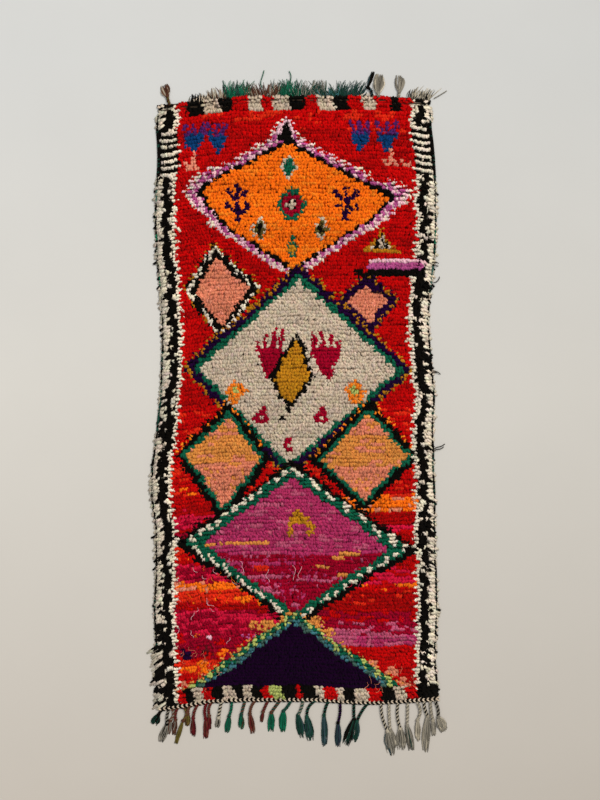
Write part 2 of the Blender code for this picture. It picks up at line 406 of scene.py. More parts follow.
# Colour runs inside single lozenges: the lozenge's number, where the run lies, its yarn and how
# full it is
FillRun = namedtuple("FillRun", "lozenge top bottom left right yarn share")
FILL_RUNS = table(FillRun, """
    5    0 -112 -400   0 salmon  0.62
    5 -215 -360 -400   0 salmon  0.72
    6    0 -110   90 400 salmon  0.66
    6 -225 -350   90 400 salmon  0.85
    7 -486 -498 -320 -98 peach   0.95
    7 -528 -740 -330 330 crimson 0.88
    7 -556 -568 -330  20 magenta 0.55
    7 -600 -612 -200 180 orchid  0.45
    7 -640 -668 -160 -60 orchid  0.60
    7 -612 -626    0 200 orchid  0.45
    7 -518 -530  150 226 peach   0.85
    7 -530 -542  120 176 peach   0.80
    7 -566 -576   62 118 peach   0.80
    7 -596 -608  150 216 peach   0.75
    7 -560 -590 -150 -96 scarlet 0.60
""")


# The two end bands: how deep they are, where their blocks start from the left and how these
# slant, then the yarn and width of each block
Band = namedtuple("Band", "depth start slant blocks")


def blocks(text):
    words = text.split()
    return tuple((yarn, int(width)) for yarn, width in zip(words[::2], words[1::2]))


HEAD_BAND = Band(32.0, -418.0, 0.25, blocks("""
    red 40  black 56  cream 58  black 48  red 48  cream 48  red 44  cream 54
    black 56  red 42  cream 56  black 55  red 48  cream 44  red 50  black 33
    red 60
"""))
FOOT_BAND = Band(48.0, -472.5, -0.18, blocks("""
    cream 40  red 47  black 32  cream 37  red 26  black 38  cream 38  black 32
    cream 32  black 35  red 30  lime 37  black 52  red 19  black 47  cream 25
    red 47  cream 19  black 42  cream 45  red 44  black 56  cream 32  red 42
    black 120
"""))

# Charts of the small motifs: one letter a knot, one line a row
CHARTS = {
    "hand": """
        vv..vv...vv
        vv..vv..vv.
        .vv.vv.vv.v
        .vvbvv.bbvv
        bbbbbbbbbb.
        .bbbbbbbbb.
        ..bbbbbb...
        ...bbbb....
        ....bb.....
    """,
    "palm": """
        ........cc..cc
        ....cc..cc..cc
        ....cc..cc..cc
        cc..cc..cc..cc
        cc..cc..cc..cc
        cccccccccccccc
        .ccccccccccccc
        .cccccccccccc.
        ..cccccccccc..
        ..ccccccccc...
        ...ccccccc....
        ...cccccc.....
        ....cccc......
        ....cc........
    """,
    "wicket": """
        ....ss...
        ....ss...
        ...sss...
        ss.ssss..
        .ssss.ss.
    """,
    "curl": """
        ss..s
        .ssss
    """,
    "star": """
        ....aa....
        ..aaaoaa..
        .aoallaoa.
        aaallllaaa
        .aoallaoa.
        ..aaooaa..
        ...oaao...
    """,
    "button": """
        ....cc...
        ...cccc..
        .ccccccc.
        ccccwwccc
        .ccccccc.
    """,
    "bow": """
        cccc
        .ccc
        .cc.
        .ccc
    """,
    "knot_fleck": """
        dd
    """,
    "amulet": """
        ..........y.........
        .........ydy........
        ........yddwy.......
        .......ydwddwy......
        .....yyddwwddwdy....
        ...yyywddwdwwddwyy..
        .yyyyyyyyyyyyyyyyyyy
    """,
    "hooks": """
        ......gg.......
        ....ggggg......
        ...gggggg......
        ...gggggggggg..
        ..ggggggggg.gg.
        ..gg.......gggg
        .gg.........ggg
        .ggg.......ggg.
        ..gg.......gg..
    """,
    "medallion": """
        ........g........
        ......gggggg.....
        ....gggcccggg....
        ...ggccccccccgg..
        ..ggcccdwwdcccgg.
        .ggccdwwwwwwdccgg
        ..ggcccdwwdcccgg.
        ...ggccccccccgg..
        ....gggcccggg....
        ......gggggg.....
        ........g........
    """,
    "tree": """
        .....pp.....
        pp...pp...pp
        ppp..pp..ppp
        ..pp.pp.pp..
        ....pppp....
        pp...pp...pp
        ppp..pp..ppp
        ..pp.pp.pp..
        ....pppp....
        .....pp.....
        ....pppp....
    """,
    "seed_head": """
        ...ww...
        ..wddw..
        .wdoodw.
        wddooddw
        .wdoodw.
        ..wddw..
        ...ww...
    """,
    "bud": """
        ...d...
        ..ddd..
        ..dyd..
        .dyyyd.
        .dyyyd.
        ..dyd..
        ..ddd..
    """,
}
# Where the motifs are: the chart, the middle of its top edge, which way round it is worked, and
# the yarn of each letter
Motif = namedtuple("Motif", "chart x y way key")
MOTIFS = tuple(Motif(*row[:4], dict(zip(row[4::2], row[5::2]))) for row in rows("""
    hand       -355  976 plain    v violet  b blue
    hand       -278  980 mirrored v violet  b blue
    hand        223  984 plain    v violet  b blue
    hand        318  986 mirrored v violet  b blue
    wicket     -362  874 plain    s rose
    wicket      334  886 plain    s rose
    curl        386  852 plain    s rose
    medallion   -18  758 plain    g green   c crimson w cream d black
    tree       -205  762 plain    p purple
    tree        176  762 plain    p purple
    seed_head  -124  646 plain    w cream   d olive   o black
    seed_head    92  646 plain    w cream   d olive   o black
    seed_head   -26  866 plain    w cream   d green   o green
    bud         -16  592 plain    d green   y gold
    amulet      292  609 plain    y ochre   d black   w cream
    palm        -92  256 plain    c crimson
    palm        102  256 mirrored c crimson
    star       -210   84 plain    a amber   o peach   l lime
    star        207   84 mirrored a amber   o peach   l lime
    knot_fleck  -45  -50 plain    d black
    button     -126  -16 plain    c crimson w cream
    button       91  -14 mirrored c crimson w cream
    bow         -28 -118 plain    c crimson
    hooks        10 -366 plain    g gold
"""))

# The horizontal bar at the right of the ground, row by row, and how near the edge it stops
Bar = namedtuple("Bar", "top bottom left yarn")
BARS = table(Bar, """
    500 487 254 pale_pink
    487 462 250 mauve
    462 438 212 black
""")
BAR_STOP = 34.0

# Stretches of the side borders where the black runs out to the selvedge
DarkRun = namedtuple("DarkRun", "side low high")
DARK_RUNS = table(DarkRun, """
     1  366  424
     1   96  190
    -1 -120  -60
     1 -470 -430
""")
# Shares of a side border's width where its black zigzag starts and ends
BLACK_FROM = 0.40
BLACK_TO = 0.75
# The stretch of the borders that is worked in rungs, and where it ends on the left and the right
LADDER_FOOT = 790.0
LADDER_HEAD_LEFT = 950.0
LADDER_HEAD_RIGHT = 968.0

# Cut locks along the head web: a share of its length, the reach and lean, the yarns and their mix
Shag = namedtuple("Shag", "start end reach lean yarn other mix")
HEAD_SHAG = table(Shag, """
    0.115 0.205 32  0.00 black  cream  0.22
    0.200 0.245 46 -0.10 brown  undyed 0.45
    0.240 0.330 66  0.06 green  forest 0.40
    0.328 0.435 54 -0.04 brown  undyed 0.22
    0.432 0.515 64  0.05 green  forest 0.40
    0.510 0.615 60  0.02 forest grey   0.30
    0.605 0.655 36  0.05 teal   forest 0.50
    0.648 0.740 58  0.10 forest slate  0.35
    0.735 0.765 18  0.20 cream  slate  0.35
    0.925 0.998 46  0.45 undyed black  0.38
""")

# Knotted tassels: where each leaves its end, where its knot sits and how far out, where it ends
# and how far out, how wide the tuft opens, then the yarns of the two plies and of the tuft
Tassel = namedtuple("Tassel", "root tie drop tip reach flare ply other tuft fleck")
HEAD_TASSELS = table(Tassel, """
    -441 -450 28 -462 68 36 brown olive  brown undyed
     265  251 30  270 86 12 black slate  black slate
     294  287 12  295 78 44 grey  undyed grey  undyed
     357  362 22  362 76 36 grey  undyed grey  undyed
""")
FOOT_TASSELS = table(Tassel, """
    -470 -481 14 -498  48 28 black  black  black  forest
    -444 -451 49 -472 112 24 black  grey   grey   black
    -432 -439 38 -449  86 18 brown  grey   grey   brown
    -414 -421 38 -429  92 16 brown  maroon brown  grey
    -392 -395 45 -420 124 12 brown  olive  olive  olive
    -371 -378 24 -381  68 18 brown  brown  brown  olive
    -343 -359 45 -360 108 17 maroon brown  maroon brown
    -312 -315 54 -315 122 17 maroon maroon maroon brown
    -295 -303 45 -304  94 15 brown  maroon maroon brown
    -260 -271 52 -276  88 16 undyed black  grey   black
    -225 -234 49 -242 108 19 forest green  green  forest
    -178 -191 45 -190  96 18 forest brown  green  brown
    -143 -161 42 -150 111 20 brown  brown  brown  maroon
     -98 -115 35 -121  72 10 brown  maroon brown  maroon
     -56  -86 38  -87 105 23 brown  forest green  forest
     -18  -44 33  -47 106 27 forest forest green  green
      24    7 47   21 128 28 forest grey   forest slate
      66   38 52   52 136 29 forest black  forest slate
     112   98 45  101 153 21 forest black  slate  forest
     154  147 68  147 152 20 black  purple slate  purple
     203  203 52  173 143 29 black  forest black  forest
     250  213 59  203 132 27 forest black  forest slate
     297  320 94  335 180 38 undyed black  grey   slate
     325  329 90  350 154 24 grey   undyed grey   undyed
     357  364 87  370 164 32 undyed black  grey   undyed
     390  388 79  405 166 30 grey   undyed grey   forest
     422  425 63  427 136 20 undyed grey   undyed grey
     448  460 49  451 174 28 undyed black  grey   undyed
     470  478 66  484 120 16 undyed grey   grey   undyed
     486  498 56  520 106 34 grey   black  grey   undyed
""")

# Where the selvedges are wrapped in other yarns: the side, and how far along
SelvedgePatch = namedtuple("SelvedgePatch", "side low high yarn")
SELVEDGE_PATCHES = table(SelvedgePatch, """
    -1  690  732 sea
    -1  560  580 green
    -1  400  440 green
    -1  -90   40 forest
     1  544  600 green
     1  385  470 sea
     1  350  374 cream
     1 -260 -200 forest
""")

# Stray threads: the points where they start, bend and end, the yarn, and how they waver
Thread = namedtuple("Thread", "start bend end yarn wiggles sway")
THREADS = tuple(Thread(row[0:3], row[3:6], row[6:9], *row[9:]) for row in rows("""
     474  479 14  488  482 12  498  477  5 black     1 1.5
     476  470 14  488  466 12  497  468  5 black     1 1.5
     478  409 14  500  408 12  502  431  4 black     1 1.5
     468  102 14  488  100 12  505   90  4 black     1 2.0
     468   88 14  480   94 14  492   96  4 black     1 2.0
     478 -172 13  500 -164 13  520 -154  4 black     2 1.5
     478 -177 13  498 -174 13  516 -164  4 black     2 1.5
    -188 -640 20 -184 -668 23 -190 -700 20 black     2 2.0
    -192 -648 20 -194 -672 23 -186 -694 20 black     1 2.0
    -119 1090  6 -126 1120  9 -112 1152  4 green     2 2.0
     -21 1090  6  -14 1120  9  -24 1150  4 green     2 2.0
     482 1054  5  506 1062  8  527 1081  3 grey      1 2.0
     -14 -574 21    6 -596 23  -10 -628 21 pale_pink 2 3.0
      20 -580 21    2 -604 23   14 -624 21 pale_pink 2 3.0
    -196 -560 21 -178 -580 23 -188 -604 21 pale_pink 3 3.0
     -96 -590 21 -110 -612 23  -92 -634 21 pale_pink 3 3.0
"""))

# Loose curls that lie on the pile: the stretch of the cloth, how many, and their yarn
LooseRun = namedtuple("LooseRun", "left right low high count yarn")
LOOSE_RUNS = table(LooseRun, """
    -425 -150  -860 -690 26 hot_pink
    -425 -170  -840 -560 16 pale_pink
    -425 -260 -1010 -860 16 salmon
    -425 -200  -690 -560 14 orange
    -300  250  -640 -520 18 magenta
     180  410  -860 -560 14 hot_pink
     230  410 -1010 -860 12 salmon
""")


# Shape of the cloth, read from the frame

def mesh_points(mesh):
    """The points of a mesh, in millimetres."""
    points = np.empty(len(mesh.vertices) * 3)
    mesh.vertices.foreach_get("co", points)
    return points.reshape(-1, 3) / MM


class ClothShape:
    """The edges of the knotted field and the height of its pile, in millimetres."""

    HEAD_LEVEL = 1015.0
    FOOT_LEVEL = -1030.0
    SIDE_LEVEL = 440.0
    RAY_HEIGHT = 200.0
    LEFT_SIDE = -475.0
    WIDTH = 958.0

    def __init__(self):
        rim = mesh_points(frame["nodes"]["rug_field"].data)
        rim = rim[np.abs(rim[:, 2] - RIM_HEIGHT) < RIM_TOLERANCE]
        head = rim[:, 1] > self.HEAD_LEVEL
        foot = rim[:, 1] < self.FOOT_LEVEL
        between = (rim[:, 1] < self.HEAD_LEVEL) & (rim[:, 1] > self.FOOT_LEVEL)
        self.left = self.in_order(rim[between & (rim[:, 0] < -self.SIDE_LEVEL)], 1)
        self.right = self.in_order(rim[between & (rim[:, 0] > self.SIDE_LEVEL)], 1)
        self.head = self.in_order(rim[head], 0)
        self.foot = self.in_order(rim[foot], 0)
        self.low = float(np.median(self.foot[1]))
        self.high = float(np.median(self.head[1]))

    def in_order(self, rim, axis):
        """An edge as two rows of numbers: how far along the axis, and where across it."""
        rim = rim[np.argsort(rim[:, axis])]
        return rim[:, axis], rim[:, 1 - axis]

    def place(self, across, along):
        """Points of the floor for shares across the cloth and from foot to head."""
        guess = self.LEFT_SIDE + across * self.WIDTH
        foot = np.interp(guess, *self.foot)
        head = np.interp(guess, *self.head)
        y = foot + along * (head - foot)
        left = np.interp(y, *self.left)
        right = np.interp(y, *self.right)
        return left + across * (right - left), y

    def pile_height(self, x, y):
        """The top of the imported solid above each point."""
        mesh = frame["nodes"]["rug_field"].data
        corners = [vert.co for vert in mesh.vertices]
        solid = BVHTree.FromPolygons(corners, [face.vertices[:] for face in mesh.polygons])
        heights = np.full(x.shape, RIM_HEIGHT)
        down = Vector((0.0, 0.0, -1.0))
        for number, (px, py) in enumerate(zip(x, y)):
            start = Vector((px, py, self.RAY_HEIGHT)) * MM
            spot = solid.ray_cast(start, down)[0]
            if spot is not None:
                heights[number] = spot.z / MM
        return heights


NOISE_CELLS = 64
NOISE_SHIFT = 1000.0


def smooth_noise(x, y, size_x, size_y, seed):
    """Soft uneven values from -1 to 1 that change over the given sizes."""
    rng = np.random.default_rng(seed)
    grid = rng.uniform(-1.0, 1.0, (NOISE_CELLS, NOISE_CELLS))
    gx = x / size_x + NOISE_SHIFT
    gy = y / size_y + NOISE_SHIFT
    ix = np.floor(gx).astype(int)
    iy = np.floor(gy).astype(int)
    fx = gx - ix
    fy = gy - iy
    fx = fx * fx * (3.0 - 2.0 * fx)
    fy = fy * fy * (3.0 - 2.0 * fy)

    def at(a, b):
        return grid[a % NOISE_CELLS, b % NOISE_CELLS]

    low = at(ix, iy) * (1.0 - fx) + at(ix + 1, iy) * fx
    high = at(ix, iy + 1) * (1.0 - fx) + at(ix + 1, iy + 1) * fx
    return low * (1.0 - fy) + high * fy


def ladder_knots(x, y, edge, border):
    """Whether a knot is in the stretch of the borders that is worked in rungs."""
    head = np.where(x < 0.0, LADDER_HEAD_LEFT, LADDER_HEAD_RIGHT)
    return (y > LADDER_FOOT) & (y < head) & (edge < border + 2.0)


def lozenge_distance(x, y, corners):
    """Distance outside a lozenge's fill, negative within it, and the way out from it."""
    distance = np.full(x.shape, -1e9)
    out = np.zeros(x.shape + (2,))
    for start, end in zip(corners, corners[1:] + corners[:1]):
        run_x = end[0] - start[0]
        run_y = end[1] - start[1]
        size = math.hypot(run_x, run_y)
        side = ((x - start[0]) * -run_y + (y - start[1]) * run_x) / size
        out[side > distance] = (-run_y / size, run_x / size)
        distance = np.maximum(distance, side)
    return distance, out


class KnotChart:
    """Works the yarn of every knot, from the ground up to the motifs."""

    # Share of a lozenge's half width where its outlines start to swell
    SWELL_FROM = 0.86
    # How much of a dashed outline is dash, and how far the dashes slant from row to row
    DASH_SHARE = 0.45
    DASH_SLANT = 0.42
    # How far in from the sides the end bands start
    BAND_INSET = 60.0
    # How far the teeth of the side borders reach in and out, from row to row
    TOOTH_IN = 4.0
    TOOTH_OUT = -3.0
    # The zones that the pieces of the pile are parted by: ground, lozenges, borders and bands
    GROUND = 0
    LOZENGE = 1
    BORDER = 2
    BAND = 3

    def start_chart(self):
        self.rng = np.random.default_rng(self.seed)
        self.yarn = np.zeros(self.x.shape, dtype=int)
        self.zone = np.full(self.x.shape, self.GROUND)
        self.splay = np.zeros(self.x.shape + (2,))

    def noise(self, size_x, size_y, number, y=None):
        """Soft unevenness over all knots, each kind with a number of its own."""
        y = self.y if y is None else y
        return smooth_noise(self.x, y, size_x, size_y, self.seed + number)

    def lay(self, where, yarn, share=1.0):
        if share < 1.0:
            where = where & (self.rng.random(self.x.shape) < share)
        self.yarn[where] = CODE[yarn]

    def flecks(self, share, size):
        """Knots in short runs along a row, a given share of them all."""
        runs = self.noise(size, 40.0, 5, self.row * 40.0)
        return runs > np.quantile(runs, 1.0 - share)

    def work_ground(self):
        rising = 1e9
        level = self.y + self.noise(120.0, 1e6, 1) * 5.0
        left = self.x < 0.0
        for run in GROUND_RUNS:
            here = (level <= rising) & (level > run.down_to)
            fleck = self.flecks(run.fleck_share, 26.0)
            self.lay(here & left, run.left)
            self.lay(here & left & fleck, run.left_fleck)
            self.lay(here & ~left, run.right)
            self.lay(here & ~left & fleck, run.right_fleck)
            rising = run.down_to
        for patch in PATCHES:
            off_x = (self.x - patch.x) / (patch.wide / 2.0)
            off_y = (self.y - patch.y) / (patch.high / 2.0)
            self.lay(off_x ** 2 + off_y ** 2 < 1.0, patch.yarn, patch.share)

    def work_lozenges(self):
        uneven = self.noise(46.0, 30.0, 2) * 3.5
        uneven += self.noise(16.0, 20.0, 8, self.row * 20.0) * 4.5
        uneven += self.rng.uniform(-1.6, 1.6, self.x.shape)
        along = self.x + self.row * self.DASH_SLANT * self.row_pitch + uneven
        for number, lozenge in enumerate(LOZENGES):
            far, out = lozenge_distance(self.x, self.y, lozenge.corners)
            left = min(corner[0] for corner in lozenge.corners)
            right = max(corner[0] for corner in lozenge.corners)
            beyond = np.abs(self.x - (left + right) / 2.0) * 2.0 / (right - left)
            swell = np.clip((beyond - self.SWELL_FROM) / (1.0 - self.SWELL_FROM), 0.0, 1.0)
            far = np.where(far > 0.0, far / (1.0 + lozenge.swell * swell), far) + uneven
            outlines = [line for line in OUTLINES if line.lozenge == number]
            start = sum(line.width for line in outlines)
            for step, line in enumerate(reversed(outlines)):
                here = (far < start) & (far >= start - line.width)
                self.splay[here] = out[here] * lozenge.splay * SPLAY_STEPS[step]
                self.zone[here] = self.LOZENGE
                self.work_outline(here, line, along)
                start -= line.width
            inside = far < 0.0
            self.lay(inside, lozenge.fill)
            self.lay(inside & self.flecks(0.16, 30.0), lozenge.fleck)
            self.splay[inside] = 0.0
            self.zone[inside] = self.LOZENGE
            for run in FILL_RUNS:
                if run.lozenge == number:
                    self.work_fill_run(inside, run)

    def work_outline(self, here, line, along):
        dash = np.zeros(self.x.shape, dtype=bool)
        if line.dash:
            dash = np.mod(along, line.dash) < line.dash * self.DASH_SHARE
            dash = dash & (self.y > line.above)
        self.lay(here & ~dash, line.yarn)
        if line.other:
            self.lay(here & dash, line.other)

    def work_fill_run(self, inside, run):
        here = inside & (self.y < run.top) & (self.y > run.bottom)
        here = here & (self.x > run.left) & (self.x < run.right)
        mixed = self.noise(44.0, 30.0, abs(run.top), self.row * 30.0)
        self.lay(here & (mixed < run.share * 2.0 - 1.0 + 0.25), run.yarn, 0.9)

    def work_bars(self):
        for bar in BARS:
            here = (self.y < bar.top) & (self.y >= bar.bottom)
            self.lay(here & (self.x > bar.left) & (self.edge > BAR_STOP), bar.yarn)

    def work_motifs(self):
        for motif in MOTIFS:
            letters = np.array([list(line) for line in CHARTS[motif.chart].split()])
            high, wide = letters.shape
            column = np.floor((self.x - motif.x) / self.pitch + wide / 2.0).astype(int)
            line = np.floor((motif.y - self.y) / self.row_pitch).astype(int)
            if motif.way == "mirrored":
                column = wide - 1 - column
            found = (column >= 0) & (column < wide) & (line >= 0) & (line < high)
            worked = np.full(self.x.shape, ".")
            worked[found] = letters[line[found], column[found]]
            for letter, yarn in motif.key.items():
                self.lay(worked == letter, yarn)

    def work_band(self, depth, band):
        """A row of blocks along one end, where depth is the distance in from that end."""
        here = (depth < band.depth) & (self.edge > self.BAND_INSET)
        place = self.x - band.start + (band.depth / 2.0 - depth) * band.slant
        place = place + self.noise(30.0, 12.0, 3) * 3.0
        reach = 0.0
        for yarn, width in band.blocks:
            self.lay(here & (place >= reach) & (place < reach + width), yarn)
            reach += width
        self.zone[here] = self.BAND

    def work_borders(self):
        """Serrated side borders: outer cream, a black zigzag and inner cream teeth."""
        border = self.border
        even = self.row % 2 == 0
        tooth = np.where(even, self.TOOTH_IN, self.TOOTH_OUT)
        sway = smooth_noise(self.x * 0.0, self.y, 1.0, 34.0, self.seed + 4) * 5.5
        sway = sway + self.noise(400.0, 13.0, 6) * 4.0
        depth = self.edge + self.rng.uniform(-2.5, 2.5, self.x.shape)
        self.lay(depth < border + tooth * 1.4 + sway * 0.6, "ivory")
        self.zone[self.edge < border + 8.0] = self.BORDER
        black_from = border * BLACK_FROM + tooth * 0.7 + sway
        black_to = border * BLACK_TO + tooth * 0.5 + sway
        self.lay((depth > black_from) & (depth < black_to), "black")
        self.lay(depth < 3.0, "black", 0.4)
        for run in DARK_RUNS:
            here = (self.x * run.side > 0.0) & (self.y > run.low) & (self.y < run.high)
            self.lay(here & (depth < black_to), "black", 0.72)
        rung = ladder_knots(self.x, self.y, depth - sway * 0.4, border)
        self.lay(rung & even, "ivory")
        self.lay(rung & ~even, "black")
        self.lay(rung & (depth < 9.0), "black")
        foot_left = (self.x < 0.0) & (self.y < -770.0) & (depth < border * 0.72)
        self.lay(foot_left & self.flecks(0.40, 16.0), "black")
        foot_right = (self.x > 0.0) & (self.foot_depth < FOOT_BAND.depth + 8.0)
        self.lay(foot_right & (depth < border), "black")
        head_left = (self.x < 0.0) & (self.head_depth < 14.0) & (depth < border * 0.5)
        self.lay(head_left, "black", 0.6)


# Shapes joined from arrays

def new_points(made):
    return [item for item in made["geom"] if isinstance(item, bmesh.types.BMVert)]


class TuftShape:
    """A closed tuft with rings from root to tip, which is bent along a path for each copy."""

    def __init__(self, sides, rings):
        bm = bmesh.new()
        bmesh.ops.create_circle(bm, cap_ends=True, cap_tris=False, segments=sides, radius=1.0)
        face = list(bm.faces)[0]
        for _ in range(rings - 1):
            made = bmesh.ops.extrude_face_region(bm, geom=[face])
            bmesh.ops.translate(bm, vec=(0.0, 0.0, 1.0), verts=new_points(made))
            face = [item for item in made["geom"] if isinstance(item, bmesh.types.BMFace)][0]
        bmesh.ops.recalc_face_normals(bm, faces=bm.faces[:])
        bm.verts.index_update()
        self.sides = sides
        self.rings = rings
        self.corner = np.array([(vert.co.x, vert.co.y) for vert in bm.verts])
        self.ring = np.array([round(vert.co.z) for vert in bm.verts])
        self.faces = [[vert.index for vert in face.verts] for face in bm.faces]
        self.cells = [self.cell(face) for face in self.faces]
        bm.free()

    def cell(self, face):
        """Where a face lies in its tuft's own square of the yarn map."""
        rings = self.ring[face]
        if rings.min() == rings.max():
            start = 0.10 if rings.min() == 0 else 0.60
            return [(start + 0.12 * (c[0] + 1.0), 0.10 + 0.04 * (c[1] + 1.0))
                    for c in self.corner[face]]
        angle = np.arctan2(self.corner[face][:, 1], self.corner[face][:, 0])
        step = np.floor(angle / (2.0 * math.pi) * self.sides + 0.01).astype(int) % self.sides
        if step.max() - step.min() > 1:
            step = np.where(step == 0, self.sides, step)
        across = 0.05 + 0.90 * step / self.sides
        up = 0.24 + 0.72 * rings / (self.rings - 1)
        return list(zip(across, up))


def unit(vectors):
    size = np.linalg.norm(vectors, axis=-1, keepdims=True)
    return vectors / np.maximum(size, 1e-9)


def spots(x, y, z):
    """Points from their coordinates, where a height may be one number for them all."""
    return np.stack(np.broadcast_arrays(x, y, z), axis=1)


def bend_tufts(shape, path, wide, deep, side=None):
    """Points of copies of a tuft, laid along paths (copies, rings, 3) in millimetres."""
    tangent = unit(np.gradient(path, axis=1))
    if side is None:
        run = path[:, -1] - path[:, 0]
        side = unit(spots(-run[:, 1], run[:, 0], 0.0))
    side = np.repeat(side[:, None, :], path.shape[1], axis=1)
    normal = unit(np.cross(tangent, side))
    across = shape.corner[:, 0][None, :, None] * side[:, shape.ring] * wide[:, shape.ring, None]
    over = shape.corner[:, 1][None, :, None] * normal[:, shape.ring] * deep[:, shape.ring, None]
    return path[:, shape.ring] + (across + over) / 2.0


def paint_points(mesh, colours):
    """Give every point the colour of its yarn."""
    rgba = np.ones((len(colours), 4))
    rgba[:, :3] = colours
    layer = mesh.attributes.new("yarn_colour", "FLOAT_COLOR", "POINT")
    layer.data.foreach_set("color", rgba.ravel())


def add_piece(mesh, material, slot, replaced):
    piece = bpy.data.objects.new(mesh.name, mesh)
    mesh.materials.append(material)
    bpy.context.scene.collection.objects.link(piece)
    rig.ride(piece, "root")
    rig.slot(piece, slot)
    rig.replaces(piece, replaced)


def add_tufts(name, sides, path, wide, deep, colours, finish, slot, replaced, side=None):
    """A piece of tufts along paths, with a colour for each tuft or for each of its rings."""
    shape = TuftShape(sides, path.shape[1])
    wide = np.broadcast_to(wide, path.shape[:2])
    deep = np.broadcast_to(deep, path.shape[:2])
    points = bend_tufts(shape, path, wide, deep, side)
    copies, size = points.shape[:2]
    loops = np.concatenate([np.array(face) for face in shape.faces])
    totals = np.array([len(face) for face in shape.faces])
    index = (loops[None, :] + np.arange(copies)[:, None] * size).ravel()
    total = np.tile(totals, copies)
    mesh = bpy.data.meshes.new(name)
    mesh.vertices.add(copies * size)
    mesh.vertices.foreach_set("co", (points * MM).ravel())
    mesh.loops.add(len(index))
    mesh.loops.foreach_set("vertex_index", index)
    mesh.polygons.add(len(total))
    mesh.polygons.foreach_set("loop_start", np.cumsum(total) - total)
    mesh.polygons.foreach_set("loop_total", total)
    mesh.update(calc_edges=True)
    mesh.shade_smooth()
    across = math.ceil(math.sqrt(copies))
    cell = np.array([spot for face in shape.cells for spot in face])
    corner = np.stack([np.arange(copies) % across, np.arange(copies) // across], axis=1)
    layer = mesh.uv_layers.new(name="OFBake")
    layer.data.foreach_set("uv", ((corner[:, None, :] + cell[None]) / across).ravel())
    rings = colours if colours.ndim == 3 else np.repeat(colours[:, None], shape.rings, axis=1)
    paint_points(mesh, rings[:, shape.ring].reshape(-1, 3))
    add_piece(mesh, wool(finish), slot, replaced)


def yarn_table():
    """The dyed colours as an array, from the settings."""
    yarns = bpy.context.scene.rug_yarns
    return np.array([tuple(getattr(yarns, yarn.name)) for yarn in YARNS])


def scattered(rng, yarns, spread=0.12):
    """Colours of named yarns, each a little lighter or darker than dyed."""
    picked = yarn_table()[[CODE[yarn] for yarn in yarns]]
    tone = np.clip(1.0 + rng.normal(0.0, spread, len(yarns)), 0.5, 1.6)
    return np.clip(picked * tone[:, None], 0.0, 1.0)


# Materials

def new_material(name, roughness, sheen):
    material = bpy.data.materials.new(name)
    material.use_nodes = True
    shader = material.node_tree.nodes["Principled BSDF"]
    shader.inputs["Roughness"].default_value = roughness
    shader.inputs["Sheen Weight"].default_value = sheen
    shader.inputs["Sheen Roughness"].default_value = 0.6
    shader.inputs["Specular IOR Level"].default_value = 0.02
    return material, material.node_tree, shader


def add_node(tree, kind, feeds=None, **values):
    """A shader node with its values set and its sockets fed from those of other nodes."""
    node = tree.nodes.new("ShaderNode" + kind)
    for name, value in values.items():
        socket = name.replace("_", " ").title()
        if socket in node.inputs:
            node.inputs[socket].default_value = value
        else:
            setattr(node, name, value)
    for socket, source in (feeds or {}).items():
        tree.links.new(source, node.inputs[socket])
    return node


# Directions of a yarn's fibres: the scale of the grain along each axis
ALONG = (1.0, 0.15, 1.0)
ACROSS = (0.15, 1.0, 1.0)
YARN_ROUGHNESS = 0.95
YARN_SHEEN = 0.008


def yarn_material(name, grain, depth, run=ALONG):
    """Wool dyed by the colour at each point, with fibres that run one way in colour and bump."""
    material, tree, shader = new_material(name, YARN_ROUGHNESS, YARN_SHEEN)
    dyed = add_node(tree, "Attribute", attribute_name="yarn_colour")
    place = add_node(tree, "TexCoord")
    drawn = add_node(tree, "Mapping", {"Vector": place.outputs["Object"]}, scale=run)
    fibre = add_node(
        tree, "TexNoise", {"Vector": drawn.outputs["Vector"]}, scale=grain, detail=3.0, roughness=0.65
    )
    tone = add_node(
        tree, "MapRange", {"Value": fibre.outputs["Fac"]},
        from_min=0.32, from_max=0.68, to_min=0.72, to_max=1.22,
    )
    feeds = {0: dyed.outputs["Color"], "Scale": tone.outputs["Result"]}
    shade = add_node(tree, "VectorMath", feeds, operation="SCALE")
    tree.links.new(shade.outputs["Vector"], shader.inputs["Base Color"])
    bump = add_node(
        tree, "Bump", {"Height": fibre.outputs["Fac"]}, strength=0.6, distance=depth
    )
    tree.links.new(bump.outputs["Normal"], shader.inputs["Normal"])
    return material


# The yarn materials that pieces share: the size of the grain, the depth of it and its direction
WOOLS = {
    "pile wool": (950.0, 0.0012, ALONG),
    "warp wool": (1100.0, 0.0008, ALONG),
    "selvedge wool": (1100.0, 0.0008, ACROSS),
    "rag cloth": (1400.0, 0.0005, ALONG),
}


def wool(name):
    """The yarn material of that name, made the first time that it is asked for."""
    return bpy.data.materials.get(name) or yarn_material(name, *WOOLS[name])


